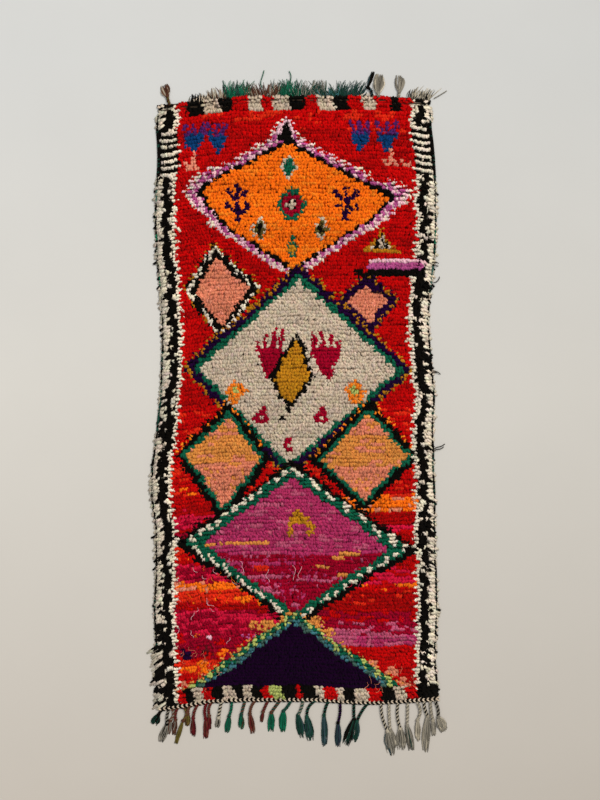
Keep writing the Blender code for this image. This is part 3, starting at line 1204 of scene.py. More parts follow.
def foundation_weave():
    """The ground cloth: knot backs in their dyed colours, darkened as painted shade under the pile, between rows of
    brown weft.
    """
    material = yarn_material("foundation weave", 1200.0, 0.0008, ACROSS)
    tree = material.node_tree
    shader = tree.nodes["Principled BSDF"]
    dyed = shader.inputs["Base Color"].links[0].from_socket
    place = add_node(tree, "TexCoord")
    feeds = {"Vector": place.outputs["Object"]}
    row = add_node(tree, "TexWave", feeds, scale=26.2, distortion=1.2, bands_direction="Y")
    pick = add_node(tree, "TexWave", feeds, scale=150.0, distortion=0.8, bands_direction="Y")
    weft = add_node(tree, "MapRange", {"Value": row.outputs["Fac"]}, from_min=0.60, from_max=0.80)
    brown = add_node(tree, "Mix", {0: pick.outputs["Fac"]}, data_type="RGBA")
    brown.inputs[6].default_value = (0.012, 0.008, 0.005, 1.0)
    brown.inputs[7].default_value = (0.046, 0.030, 0.019, 1.0)
    feeds = {0: weft.outputs["Result"], 6: dyed, 7: brown.outputs[2]}
    woven = add_node(tree, "Mix", feeds, data_type="RGBA")
    tree.links.new(woven.outputs[2], shader.inputs["Base Color"])
    return material


# The knotted field

class FieldKnots(KnotChart):
    """Every knot's place, yarn and lean, in millimetres."""

    WIDTH = 960.0

    def __init__(self):
        knots = bpy.context.scene.rug_knots
        self.pitch = knots.knot_pitch / MM
        self.row_pitch = knots.row_pitch / MM
        self.border = knots.border_width / MM
        self.reach = knots.lock_reach / MM
        self.wide = knots.lock_width / MM
        self.deep = knots.lock_depth / MM
        self.base = knots.cloth_thickness / MM
        self.seed = knots.seed
        self.cloth = ClothShape()
        self.rows = round((self.cloth.high - self.cloth.low) / self.row_pitch)
        self.columns = round(self.WIDTH / self.pitch)
        row, column = np.meshgrid(np.arange(self.rows), np.arange(self.columns), indexing="ij")
        self.row = row.ravel()
        column = column.ravel()
        rng = np.random.default_rng(self.seed)
        across = (column + 0.5 + rng.uniform(-0.18, 0.18, column.size)) / self.columns
        along = (self.row + 0.78) / self.rows
        self.x, self.y = self.cloth.place(across, along)
        self.y = self.y + self.noise(62.0, 26.0, 20) * 2.6
        left = self.x - np.interp(self.y, *self.cloth.left)
        right = np.interp(self.y, *self.cloth.right) - self.x
        self.edge = np.minimum(left, right)
        self.head_depth = np.interp(self.x, *self.cloth.head) - self.y
        self.foot_depth = self.y - np.interp(self.x, *self.cloth.foot)
        self.work()

    def work(self):
        self.start_chart()
        self.work_ground()
        self.work_lozenges()
        self.work_motifs()
        self.work_band(self.head_depth, HEAD_BAND)
        self.work_band(self.foot_depth, FOOT_BAND)
        self.work_borders()
        self.work_bars()

    def colours(self):
        """Dyed colours with the unevenness of rows, of patches and of single tufts."""
        rng = np.random.default_rng(self.seed + 40)
        each = rng.normal(0.0, 0.085, self.x.size)
        row_tone = rng.normal(0.0, 0.045, self.rows)[self.row]
        patch = self.noise(120.0, 36.0, 41) * 0.09
        tone = np.clip(1.0 + each + row_tone + patch, 0.45, 1.6)
        warm = rng.normal(0.0, 0.03, (self.x.size, 3))
        return np.clip(yarn_table()[self.yarn] * tone[:, None] * (1.0 + warm), 0.0, 1.0)


class PileLocks:
    """The two cut ends of every knot: how they lie, and their sizes and colours."""

    # Shares of the width and thickness at the root, the knee and the tip, and the tone there: painted shade darkens
    # the root and painted light brightens the tip a little
    WIDTHS = (0.80, 1.0, 0.88)
    DEPTHS = (0.80, 1.0, 0.50)
    TONES = (0.85, 1.0, 1.02)
    # How far out the knee is, as a share of the reach
    KNEE = 0.40
    # How much the splay of an outline turns, shortens and thins its locks
    SPLAY_TURN = 1.6
    SPLAY_SHORT = 0.10
    SPLAY_THIN = 0.30
    # Spread of the chance turns of a lock, and that of the loosest yarns
    TURN = 0.22
    LOOSE_TURN = 0.34
    # Where the two ends of a knot stand, as shares of its width
    STANDS = (-0.25, 0.25)
    # Width of the rim where the locks are short, and the frayed stretch of the left side
    RIM = 10.0
    FRAYED_BELOW = -850.0
    FRAYED_WIDTH = 24.0

    def __init__(self, knots):
        self.knots = knots
        self.ends = np.repeat(np.arange(knots.x.size), 2)
        self.count = self.ends.size
        self.x = knots.x[self.ends]
        self.y = knots.y[self.ends]
        self.edge = knots.edge[self.ends]
        self.splay = knots.splay[self.ends]
        self.splayed = np.minimum(np.hypot(self.splay[:, 0], self.splay[:, 1]), 1.0)
        self.at_head = knots.head_depth[self.ends] < knots.row_pitch
        self.outer = self.edge < knots.border * BLACK_FROM
        self.inner = (self.edge > knots.border * BLACK_TO) & (self.edge < knots.border + 6.0)
        self.rung = ladder_knots(self.x, self.y, self.edge, knots.border)
        self.rng = np.random.default_rng(knots.seed + 60)

    def leans(self):
        """Which way each lock lies: mostly to the foot, outwards or inwards in the borders."""
        knots = self.knots
        slant = smooth_noise(self.x, self.y, 70.0, 50.0, knots.seed + 51) * 0.55
        slant = slant + smooth_noise(self.x, self.y, 19.0, 15.0, knots.seed + 52) * 0.45
        loose = np.isin(knots.yarn[self.ends], [CODE["orange"], CODE["amber"]])
        turn = np.where(loose, self.LOOSE_TURN, self.TURN)
        slant = slant + self.rng.normal(0.0, 1.0, self.count) * turn
        lean_x = np.sin(slant)
        lean_y = -np.cos(slant)
        side = np.sign(self.x)
        turns = ((self.outer, 0.85, 0.8, 0.75), (self.inner, -0.80, 0.6, 0.65))
        for where, out, keep_x, keep_y in turns:
            lean_x = np.where(where, side * out + lean_x * keep_x, lean_x)
            lean_y = np.where(where, lean_y * keep_y, lean_y)
        lean_x = np.where(self.rung, np.sin(slant) * 0.4, lean_x)
        lean_y = np.where(self.rung, -1.0, lean_y)
        lean_x = lean_x + self.splay[:, 0] * self.SPLAY_TURN
        lean_y = lean_y + self.splay[:, 1] * self.SPLAY_TURN
        over_web = self.at_head & (self.rng.random(self.count) < 0.75)
        lean_y = np.where(over_web, np.abs(lean_y), lean_y)
        size = np.maximum(np.hypot(lean_x, lean_y), 0.05)
        return spots(lean_x / size, lean_y / size, 0.0)

    def reaches(self):
        """How far each lock lies over: shorter along worn rows, longer in the borders."""
        knots = self.knots
        lines = knots.row[self.ends] * 20.0
        worn = smooth_noise(self.x, lines, 90.0, 20.0, knots.seed + 61) > 0.42
        reach = knots.reach * self.rng.uniform(0.86, 1.26, self.count)
        changes = (
            (self.rung, 0.85),
            (worn, 0.78),
            (self.edge < knots.border, self.rng.uniform(0.85, 1.15, self.count)),
            (self.edge < self.RIM, self.rng.uniform(0.45, 0.95, self.count)),
            (self.inner, 0.62),
            (True, 1.0 - self.SPLAY_SHORT * self.splayed),
            (self.splay[:, 1] > 0.1, 0.76),
            (self.at_head, 0.62),
        )
        for where, share in changes:
            reach = np.where(where, reach * share, reach)
        frayed = (self.x < 0.0) & (self.y < self.FRAYED_BELOW) & (self.edge < self.FRAYED_WIDTH)
        return np.where(frayed, knots.reach * self.rng.uniform(1.0, 2.1, self.count), reach)

    def paths(self):
        """How all locks run, up out of the cloth, over and down at the tip, and their sizes."""
        knots = self.knots
        rng = self.rng
        count = self.count
        lean = self.leans()
        side = spots(lean[:, 1], -lean[:, 0], 0.0)
        reach = self.reaches()
        half = np.tile(self.STANDS, count // 2) * knots.pitch
        root_x = self.x + half + rng.normal(0.0, 0.5, count)
        root_y = self.y + rng.normal(0.0, 1.2, count)
        root = spots(root_x, root_y, knots.base)
        top = knots.cloth.pile_height(knots.x, knots.y)[self.ends]
        rise = top - knots.deep * 0.5 - knots.base + rng.normal(0.0, 0.65, count)
        rise = np.where(self.edge < 12.0, rise * 0.8, rise)
        up = np.array([0.0, 0.0, 1.0])
        knee = root + lean * (reach * self.KNEE)[:, None] + up * rise[:, None]
        droop = rng.uniform(1.4, 3.8, count)
        tip = root + lean * reach[:, None] + up * (rise - droop)[:, None]
        fat = rng.uniform(0.84, 1.16, count)
        fat = fat * (1.0 - self.SPLAY_THIN * self.splayed)
        wide = fat[:, None] * np.array(self.WIDTHS) * knots.wide
        deep = fat[:, None] * np.array(self.DEPTHS) * knots.deep
        return np.stack([root, knee, tip], axis=1), wide, deep, side

    def colours(self):
        """Each lock is darker down at its root than at its tip: painted shade at the root and a little painted light
        at the tip.
        """
        dyed = self.knots.colours()[self.ends]
        # painted shade at the root and painted light at the tip scale the dyed colour
        return dyed[:, None, :] * np.array(self.TONES)[None, :, None]


# Pieces of the pile: the name, the zone of the chart, and the half of the rug
PILE_PIECES = (
    ("pile_ground_head", KnotChart.GROUND, "head"),
    ("pile_ground_foot", KnotChart.GROUND, "foot"),
    ("pile_lozenges_head", KnotChart.LOZENGE, "head"),
    ("pile_lozenges_foot", KnotChart.LOZENGE, "foot"),
    ("pile_side_borders", KnotChart.BORDER, "both"),
    ("pile_end_bands", KnotChart.BAND, "both"),
)


class RUG_OT_pile(bpy.types.Operator):
    """Knot the pile, a lock for every cut end, in the yarns of the chart"""

    bl_idname = "rug.pile"
    bl_label = "Knot the Pile"

    def execute(self, context):
        locks = PileLocks(FieldKnots())
        path, wide, deep, side = locks.paths()
        colours = locks.colours()
        zone = locks.knots.zone[locks.ends]
        halves = {"head": locks.y > 0.0, "foot": locks.y <= 0.0, "both": True}
        for name, number, half in PILE_PIECES:
            mine = (zone == number) & halves[half]
            if not mine.any():
                raise RuntimeError(f"no knots for {name}")
            add_tufts(
                name, 3, path[mine], wide[mine], deep[mine], colours[mine],
                "pile wool", "pile_wool", "rug_field", side[mine],
            )
        return {"FINISHED"}


class RUG_OT_foundation(bpy.types.Operator):
    """Weave the foundation that the knots are tied on"""

    bl_idname = "rug.foundation"
    bl_label = "Weave the Foundation"

    COLUMN_STEP = 2
    CLEARANCE = 0.0002
    # painted shade: the knot colours are darkened on the foundation, where it lies in shade under the locks
    TONE = 0.8

    def execute(self, context):
        knots = FieldKnots()
        columns = knots.columns // self.COLUMN_STEP
        bm = bmesh.new()
        bmesh.ops.create_grid(bm, x_segments=columns, y_segments=knots.rows, size=0.5)
        flat = np.array([(vert.co.x + 0.5, vert.co.y + 0.5) for vert in bm.verts])
        x, y = knots.cloth.place(flat[:, 0], flat[:, 1])
        for vert, px, py in zip(bm.verts, x, y):
            vert.co = Vector((px * MM, py * MM, self.CLEARANCE))
        made = bmesh.ops.extrude_face_region(bm, geom=bm.faces[:], use_keep_orig=True)
        thickness = context.scene.rug_knots.cloth_thickness
        bmesh.ops.translate(bm, vec=(0.0, 0.0, thickness), verts=new_points(made))
        bmesh.ops.recalc_face_normals(bm, faces=bm.faces[:])
        mesh = bpy.data.meshes.new("woven_foundation")
        bm.to_mesh(mesh)
        bm.free()
        mesh.shade_smooth()
        # each point takes the colour of the nearest knot's back, darkened by painted shade
        paint_points(mesh, knots.colours()[self.nearest(mesh, knots)] * self.TONE)
        add_piece(mesh, foundation_weave(), "pile_wool", "rug_field")
        return {"FINISHED"}

    def nearest(self, mesh, knots):
        """The knot that is tied nearest to each point."""
        points = mesh_points(mesh)
        left = np.interp(points[:, 1], *knots.cloth.left)
        right = np.interp(points[:, 1], *knots.cloth.right)
        foot = np.interp(points[:, 0], *knots.cloth.foot)
        head = np.interp(points[:, 0], *knots.cloth.head)
        column = (points[:, 0] - left) / (right - left) * knots.columns
        row = (points[:, 1] - foot) / (head - foot) * knots.rows
        column = np.clip(column.astype(int), 0, knots.columns - 1)
        row = np.clip(row.astype(int), 0, knots.rows - 1)
        return row * knots.columns + column


class RUG_OT_selvedges(bpy.types.Operator):
    """Wrap a cord down each long side, patched with green and teal yarn"""

    bl_idname = "rug.selvedges"
    bl_label = "Wrap the Selvedges"

    # Rings of one turn: the share of the width outwards, and the height
    TURN = ((-1.0, 0.6), (-0.86, 5.6), (-0.45, 8.6), (0.02, 8.2), (0.30, 3.0))
    SLANT = 0.9
    INSET = 4.0
    DEEP = 2.6
    BLACK_SHARE = 0.86
    SEED = 71

    def execute(self, context):
        fringe = context.scene.rug_fringe
        cloth = ClothShape()
        rng = np.random.default_rng(self.SEED)
        pitch = fringe.wrap_pitch / MM
        width = fringe.selvedge_width / MM
        for name, edge, out in (("selvedge_left", cloth.left, -1), ("selvedge_right", cloth.right, 1)):
            y = np.arange(edge[0].min() + self.INSET, edge[0].max() - self.INSET, pitch)
            y = y + rng.normal(0.0, 0.5, len(y))
            wander = smooth_noise(y * 0.0, y, 1.0, 60.0, self.SEED + 1) * 1.2
            x = np.interp(y, *edge) + wander
            rings = [
                spots(x - out * share * width, y + (number - 2) * self.SLANT, z)
                for number, (share, z) in enumerate(self.TURN)
            ]
            path = np.stack(rings, axis=1)
            wide = pitch * 1.25 * rng.uniform(0.85, 1.15, (len(y), 1))
            along = np.tile([0.0, 1.0, 0.0], (len(y), 1))
            colours = scattered(rng, [self.yarn(out, place, rng) for place in y], 0.2)
            add_tufts(
                name, 4, path, wide, self.DEEP, colours,
                "selvedge wool", "pile_wool", "rug_field", along,
            )
        return {"FINISHED"}

    def yarn(self, out, y, rng):
        for patch in SELVEDGE_PATCHES:
            if patch.side == out and patch.low < y < patch.high:
                return patch.yarn
        return "black" if rng.random() < self.BLACK_SHARE else "forest"


class RUG_OT_twined_cord(bpy.types.Operator):
    """Twine the two-colour cord along the foot end"""

    bl_idname = "rug.twined_cord"
    bl_label = "Twine the Foot Cord"

    # Rings of one turn: the share of the half width outwards, the height and the thickness
    TURN = ((1.0, 2.6, 0.5), (0.80, 6.2, 0.85), (0.42, 8.2, 1.0), (0.08, 8.6, 0.75))
    LEAD = 2.1
    TURN_DEPTH = 5.0
    PALE_WIDTH = 0.74
    DARK_WIDTH = 1.42
    OVERHANG = 6.0
    # The core under the turns: its rings, its height and its thickness
    CORE_RINGS = 90
    CORE_LEVEL = 4.2
    CORE_DEPTH = 7.6
    SEED = 81

    def execute(self, context):
        fringe = context.scene.rug_fringe
        cloth = ClothShape()
        half = fringe.cord_width / MM / 2.0
        pitch = fringe.cord_pitch / MM / 2.0
        start = cloth.foot[0].min() - self.OVERHANG
        end = cloth.foot[0].max() + self.OVERHANG
        self.add_turns(cloth, half, pitch, np.arange(start, end, pitch))
        self.add_core(cloth, half, np.linspace(start, end, self.CORE_RINGS))
        return {"FINISHED"}

    def add_turns(self, cloth, half, pitch, x):
        rng = np.random.default_rng(self.SEED)
        middle = np.interp(x, *cloth.foot) - PARTING - half
        sides = []
        for out in (1.0, -1.0):
            rings = [
                spots(x + (share - 0.5) * pitch * self.LEAD, middle + out * share * half, z)
                for share, z, _ in self.TURN
            ]
            sides.append(np.stack(rings, axis=1))
        path = np.concatenate(sides)
        path = path + rng.normal(0.0, 0.25, (len(path), 1, 3))
        fat = np.array([turn[2] for turn in self.TURN])
        number = np.tile(np.arange(len(x)), 2)
        grain = np.where(number % 2 == 1, self.PALE_WIDTH, self.DARK_WIDTH)[:, None]
        wide = fat[None] * pitch * grain
        deep = fat * self.TURN_DEPTH
        yarns = ["cream" if step % 2 else "black" for step in number]
        colours = scattered(rng, yarns, 0.1)
        add_tufts(
            "twined_cord", 6, path, wide, deep, colours, "warp wool", "foot_yarn", "foot_fringe"
        )

    def add_core(self, cloth, half, x):
        y = np.interp(x, *cloth.foot) - PARTING - half
        path = spots(x, y, self.CORE_LEVEL)[None]
        colours = yarn_table()[[CODE["black"]]]
        add_tufts(
            "twined_core", 8, path, half * 1.7, self.CORE_DEPTH, colours,
            "warp wool", "foot_yarn", "foot_fringe",
        )


class RUG_OT_head_web(bpy.types.Operator):
    """Weave the narrow end web that carries the head fringe"""

    bl_idname = "rug.head_web"
    bl_label = "Weave the Head Web"

    RIB = 2.6
    OVERHANG = 8.0
    # Rings of a rib: the share of the width outwards, and the height
    LINES = ((0.02, 1.6), (0.12, 4.8), (0.5, 5.2), (0.88, 4.4), (1.0, 1.4))
    DEEP = 2.4
    BLACK_SHARE = 0.7
    SEED = 91

    def execute(self, context):
        cloth = ClothShape()
        rng = np.random.default_rng(self.SEED)
        width = context.scene.rug_fringe.web_width / MM
        start = cloth.head[0].min() - self.OVERHANG
        x = np.arange(start, cloth.head[0].max() + self.OVERHANG, self.RIB)
        y = np.interp(x, *cloth.head) + PARTING
        path = np.stack([spots(x, y + share * width, z) for share, z in self.LINES], axis=1)
        yarns = ["black" if rng.random() < self.BLACK_SHARE else "brown" for _ in x]
        add_tufts(
            "head_web", 4, path, self.RIB * 1.25, self.DEEP, scattered(rng, yarns),
            "warp wool", "head_yarn", "head_fringe",
        )
        return {"FINISHED"}


class RUG_OT_head_shag(bpy.types.Operator):
    """Set cut locks along the head web, stretch by stretch in their own yarns"""

    bl_idname = "rug.head_shag"
    bl_label = "Set the Head Fringe"

    SPACING = 0.95
    # How far out from the cloth the locks start
    START = 4.0
    # The height, the width and the tone of a lock from root to tip, darker at the root and lighter and paler towards
    # the tip
    RISE = (0.0, 1.6, 2.2, 1.2, -0.6, -2.0)
    WIDTHS = (0.8, 1.0, 1.0, 0.9, 0.7, 0.35)
    FADE = (0.70, 0.85, 1.0, 1.2, 1.4, 1.6)
    SEED = 101

    def execute(self, context):
        cloth = ClothShape()
        rng = np.random.default_rng(self.SEED)
        low = cloth.head[0].min()
        span = cloth.head[0].max() - low
        paths = []
        yarns = []
        for stretch in HEAD_SHAG:
            count = int((stretch.end - stretch.start) * span / self.SPACING)
            share = rng.uniform(stretch.start - 0.004, stretch.end + 0.004, count)
            paths.append(self.strands(cloth, low + share * span, stretch, rng))
            picked = rng.random(count) < stretch.mix
            yarns += [stretch.other if other else stretch.yarn for other in picked]
        path = np.concatenate(paths)
        width = context.scene.rug_fringe.rag_width / MM
        fat = rng.uniform(0.7, 1.25, (len(path), 1))
        wide = fat * width * np.array(self.WIDTHS)
        deep = fat * width * 0.75 * np.array(self.WIDTHS)
        dyed = scattered(rng, yarns, 0.28)[:, None, :]
        toned = np.array(self.FADE)[None, :, None]
        colours = np.clip(dyed * toned + (toned - 1.0).clip(0.0) * 0.05, 0.0, 1.0)
        add_tufts(
            "head_shag", 3, path, wide, deep, colours, "rag cloth", "head_yarn", "head_fringe"
        )
        return {"FINISHED"}

    def strands(self, cloth, x, stretch, rng):
        """Paths of the locks of one stretch, out from the web and bent their own ways."""
        root = np.interp(x, *cloth.head) + self.START
        reach = stretch.reach * rng.uniform(0.42, 1.04, len(x))
        sway = smooth_noise(x, x * 0.0, 26.0, 1.0, self.SEED + 1) * 0.35
        sway = sway + rng.normal(0.0, 0.30, len(x))
        lean = stretch.lean + sway
        curl = rng.normal(0.0, 4.0, len(x))
        level = rng.uniform(2.6, 6.4, len(x))
        rings = []
        for number, rise in enumerate(self.RISE):
            share = number / (len(self.RISE) - 1)
            bend = lean * reach * share + curl * math.sin(share * math.pi)
            height = np.maximum(level + rise * share * 1.4, 1.2)
            rings.append(spots(x + bend, root + reach * share, height))
        return np.stack(rings, axis=1)


class TasselSet:
    """Knotted warp tassels: two plied threads, a knot, and an opened tuft."""

    LEVEL = 6.3
    NECK_RINGS = 26
    BOW = 3.2
    # How far a neck is tucked in under the end that it hangs from
    TUCK = 3.0
    # The knot's length, and its width from ring to ring
    KNOT_LENGTH = 12.0
    KNOT = (0.45, 0.95, 1.05, 0.92, 0.42)
    # The tuft: how far it has opened at shares of its length, and a strand's width from ring to ring
    STRANDS = 34
    FLECK_SHARE = 0.25
    SPREAD = ((0.0, 0.34), (0.30, 0.76), (0.62, 1.0), (1.0, 0.70))
    TAPER = (0.8, 1.0, 1.05, 1.0, 0.95, 0.85, 0.5)
    WAVE = 2.2

    def __init__(self, tassels, line, offset, out, seed):
        self.tassels = tassels
        self.rng = np.random.default_rng(seed)
        fringe = bpy.context.scene.rug_fringe
        self.neck_width = fringe.neck_width / MM
        self.neck_pitch = fringe.neck_pitch / MM
        self.strand = fringe.strand_width / MM
        root, tie, drop, tip, reach, self.flare = np.array(
            [tassel[:6] for tassel in tassels], dtype=float
        ).T
        base = np.interp(root, *line) + out * offset
        self.root = spots(root, base - out * self.TUCK, self.LEVEL)
        self.tip = spots(tip, base + out * reach, self.LEVEL)
        self.tie = spots(tie, base + out * drop, self.LEVEL + 0.4)

    def sideways(self, start, end):
        run = unit(end - start)
        return spots(-run[:, 1], run[:, 0], 0.0)

    def necks(self):
        """Two plies wound round each other from the cord to the knot."""
        share = np.linspace(0.0, 1.0, self.NECK_RINGS)
        run = self.tie - self.root
        length = np.linalg.norm(run, axis=1)
        side = self.sideways(self.root, self.tie)[:, None]
        bow = np.sin(share * math.pi) * 1.6
        bend = self.rng.normal(0.0, self.BOW, (len(run), 1, 1))
        line = self.root[:, None] + run[:, None] * share[None, :, None]
        line = line + side * bow[None, :, None] * bend
        radius = self.neck_width * 0.25
        paths = []
        for phase in (0.0, math.pi):
            angle = share[None] * length[:, None] / self.neck_pitch * 2.0 * math.pi + phase
            across = side * np.cos(angle)[:, :, None] * radius
            over = np.array([0.0, 0.0, 1.0]) * np.sin(angle)[:, :, None] * radius
            paths.append(line + across + over)
        wide = self.neck_width * 0.54
        return np.concatenate(paths), wide, wide

    def knots(self):
        run = unit(self.tip - self.tie)
        share = np.linspace(-0.5, 0.5, len(self.KNOT))
        path = self.tie[:, None] + run[:, None] * share[None, :, None] * self.KNOT_LENGTH
        wide = np.array(self.KNOT) * self.neck_width * 1.12
        return path, wide, wide * 0.92

    def tufts(self):
        """Loose strands from the knot: they open, then close a little and sink to the floor."""
        rng = self.rng
        share = np.linspace(0.0, 1.0, len(self.TAPER))
        start = np.repeat(self.tie, self.STRANDS, axis=0)
        end = np.repeat(self.tip, self.STRANDS, axis=0)
        flare = np.repeat(self.flare, self.STRANDS)
        count = len(start)
        end = start + (end - start) * rng.uniform(0.72, 1.03, (count, 1))
        side = self.sideways(start, end)
        place = rng.uniform(-1.0, 1.0, count)
        opened = np.interp(share, *zip(*self.SPREAD)) * 0.5
        across = place[:, None] * flare[:, None] * opened[None]
        turns = share[None] * rng.uniform(3.0, 8.0, (count, 1))
        wave = np.sin(turns + rng.uniform(0.0, 6.0, (count, 1)))
        across = across + wave * share[None] * self.WAVE
        line = start[:, None] + (end - start)[:, None] * share[None, :, None]
        path = line + side[:, None] * across[:, :, None]
        level = rng.uniform(2.0, 7.6, (count, 1))
        path[:, :, 2] = level + (self.LEVEL - level) * (1.0 - share[None]) ** 2
        path[:, :, 2] = path[:, :, 2] * (1.0 - 0.55 * share[None] ** 2) + 0.4
        wide = rng.uniform(0.8, 1.2, (count, 1)) * self.strand * np.array(self.TAPER)
        return path, wide, wide * 0.8

    def build(self, prefix, slot, replaced):
        rng = self.rng
        plies = [tassel.ply for tassel in self.tassels]
        strands = [tassel for tassel in self.tassels for _ in range(self.STRANDS)]
        tufts = [s.fleck if rng.random() < self.FLECK_SHARE else s.tuft for s in strands]
        others = [tassel.other for tassel in self.tassels]
        jobs = (
            ("necks", 5, self.necks, plies + others, 0.10),
            ("knots", 8, self.knots, plies, 0.10),
            ("tufts", 4, self.tufts, tufts, 0.38),
        )
        for part, sides, lay, yarns, spread in jobs:
            colours = scattered(rng, yarns, spread)
            path, wide, deep = lay()
            name = f"{prefix}_{part}"
            add_tufts(name, sides, path, wide, deep, colours, "warp wool", slot, replaced)


class RUG_OT_tassels(bpy.types.Operator):
    """Twist and knot the tassels of both ends"""

    bl_idname = "rug.tassels"
    bl_label = "Knot the Tassels"

    FOOT_SEED = 111
    HEAD_SEED = 112

    def execute(self, context):
        cloth = ClothShape()
        fringe = context.scene.rug_fringe
        cord = PARTING + fringe.cord_width / MM
        foot = TasselSet(FOOT_TASSELS, cloth.foot, cord, -1.0, self.FOOT_SEED)
        foot.build("foot_tassel", "foot_yarn", "foot_fringe")
        web = PARTING + fringe.web_width / MM
        head = TasselSet(HEAD_TASSELS, cloth.head, web, 1.0, self.HEAD_SEED)
        head.build("head_tassel", "head_yarn", "head_fringe")
        return {"FINISHED"}


class RUG_OT_threads(bpy.types.Operator):
    """Lay the stray threads that have worked loose"""

    bl_idname = "rug.threads"
    bl_label = "Lay the Stray Threads"

    RINGS = 12
    # The height of curls on the pile, and the share of the width that threads up there have
    ON_PILE = 20.0
    FINE = 0.32
    SEED = 121

    def execute(self, context):
        width = context.scene.rug_fringe.thread_width / MM
        rng = np.random.default_rng(self.SEED)
        share = np.linspace(0.0, 1.0, self.RINGS)[:, None]
        paths = []
        threads = THREADS + self.loose_curls(rng)
        for thread in threads:
            start, bend, end = np.array([thread.start, thread.bend, thread.end], dtype=float)
            path = start * (1.0 - share) ** 2 + bend * 2.0 * share * (1.0 - share) + end * share ** 2
            wiggle = np.sin(share[:, 0] * thread.wiggles * math.pi) * thread.sway
            run = unit(end - start)
            path[:, 0] -= run[1] * wiggle
            path[:, 1] += run[0] * wiggle
            paths.append(path)
        path = np.stack(paths)
        wide = np.where(path[:, :, 2] > self.ON_PILE - 5.0, self.FINE, 1.0) * width
        colours = scattered(rng, [thread.yarn for thread in threads])
        add_tufts(
            "stray_threads", 5, path, wide, wide, colours, "warp wool", "pile_wool", "rug_field"
        )
        return {"FINISHED"}

    def loose_curls(self, rng):
        """Short curls at chance places in the stretches where the pile has worked loose."""
        curls = []
        level = self.ON_PILE - 3.0
        for run in [run for run in LOOSE_RUNS for _ in range(run.count)]:
            x = rng.uniform(run.left, run.right)
            y = rng.uniform(run.low, run.high)
            turn = rng.uniform(-2.6, -0.5)
            reach = rng.uniform(14.0, 30.0)
            end = (x + math.cos(turn) * reach, y + math.sin(turn) * reach, level)
            bend = (x + rng.normal(0.0, 8.0), y - reach * 0.5, self.ON_PILE + 4.0)
            wiggles = int(rng.integers(1, 4))
            curls.append(Thread((x, y, level), bend, end, run.yarn, wiggles, rng.uniform(1.0, 3.0)))
        return tuple(curls)


# Pieces that lie on the foundation
WORN_PIECES = tuple(name for name, _, _ in PILE_PIECES) + (
    "selvedge_left", "selvedge_right", "twined_cord", "twined_core", "head_web", "head_shag",
    "foot_tassel_necks", "foot_tassel_knots", "foot_tassel_tufts", "head_tassel_necks",
    "head_tassel_knots", "head_tassel_tufts", "stray_threads",
)


class RUG_OT_declare_cloth(bpy.types.Operator):
    """State the flat size of the foundation and the pieces that are on it"""

    bl_idname = "rug.declare_cloth"
    bl_label = "Declare the Cloth"

    def execute(self, context):
        cloth = bpy.data.objects["woven_foundation"]
        width = 0.966
        length = 2.093
        others = [name for name in WORN_PIECES if name in bpy.data.objects]
        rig.sheet(cloth, flat=(width, length), held="laid", with_pieces=others)
        return {"FINISHED"}


class RUG_OT_stage(bpy.types.Operator):
    """Lay the floor and set the lights and the camera above the rug"""

    bl_idname = "rug.stage"
    bl_label = "Set the Stage"

    FLOOR_SIZE = 14.0
    AIM = (0.014, 0.0)
    CLIP_END = 60.0
    KEY_PLACE = (5.6, 4.6, 11.4)
    KEY_SIZE = 6.5
    KEY_COLOUR = (1.0, 0.975, 0.94)
    FILL_PLACE = (-2.8, -1.4, 12.0)
    FILL_SIZE = 8.0
    FILL_COLOUR = (0.96, 0.98, 1.0)
    ROOM_COLOUR = (0.93, 0.95, 1.0, 1.0)
    ROOM_STRENGTH = 0.36

    def execute(self, context):
        scene = context.scene
        stage = scene.rug_stage
        self.lay_floor(scene)
        self.add_light("key_light", self.KEY_PLACE, self.KEY_SIZE, stage.key_power, self.KEY_COLOUR)
        self.add_light(
            "fill_light", self.FILL_PLACE, self.FILL_SIZE, stage.fill_power, self.FILL_COLOUR
        )
        self.add_world(scene)
        camera = bpy.data.cameras.new("photo_camera")
        camera.sensor_fit = "VERTICAL"
        camera.angle_y = 2.0 * math.atan(stage.seen_length / 2.0 / stage.camera_height)
        camera.clip_end = self.CLIP_END
        holder = bpy.data.objects.new("photo_camera", camera)
        holder.location = (self.AIM[0], self.AIM[1], stage.camera_height)
        scene.collection.objects.link(holder)
        scene.camera = holder
        scene.view_settings.view_transform = "Standard"
        return {"FINISHED"}

    def lay_floor(self, scene):
        bm = bmesh.new()
        bmesh.ops.create_grid(bm, x_segments=1, y_segments=1, size=self.FLOOR_SIZE / 2.0)
        mesh = bpy.data.meshes.new("floor")
        bm.to_mesh(mesh)
        bm.free()
        floor = bpy.data.objects.new("floor", mesh)
        mesh.materials.append(pale_floor())
        scene.collection.objects.link(floor)
        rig.stage(floor)

    def add_light(self, name, place, size, power, colour):
        light = bpy.data.lights.new(name, "AREA")
        light.size = size
        light.energy = power
        light.color = colour
        lamp = bpy.data.objects.new(name, light)
        lamp.location = place
        lamp.rotation_euler = (-Vector(place)).to_track_quat("-Z", "Y").to_euler()
        bpy.context.scene.collection.objects.link(lamp)

    def add_world(self, scene):
        world = bpy.data.worlds.new("soft_room")
        world.use_nodes = True
        background = world.node_tree.nodes["Background"]
        background.inputs["Color"].default_value = self.ROOM_COLOUR
        background.inputs["Strength"].default_value = self.ROOM_STRENGTH
        scene.world = world


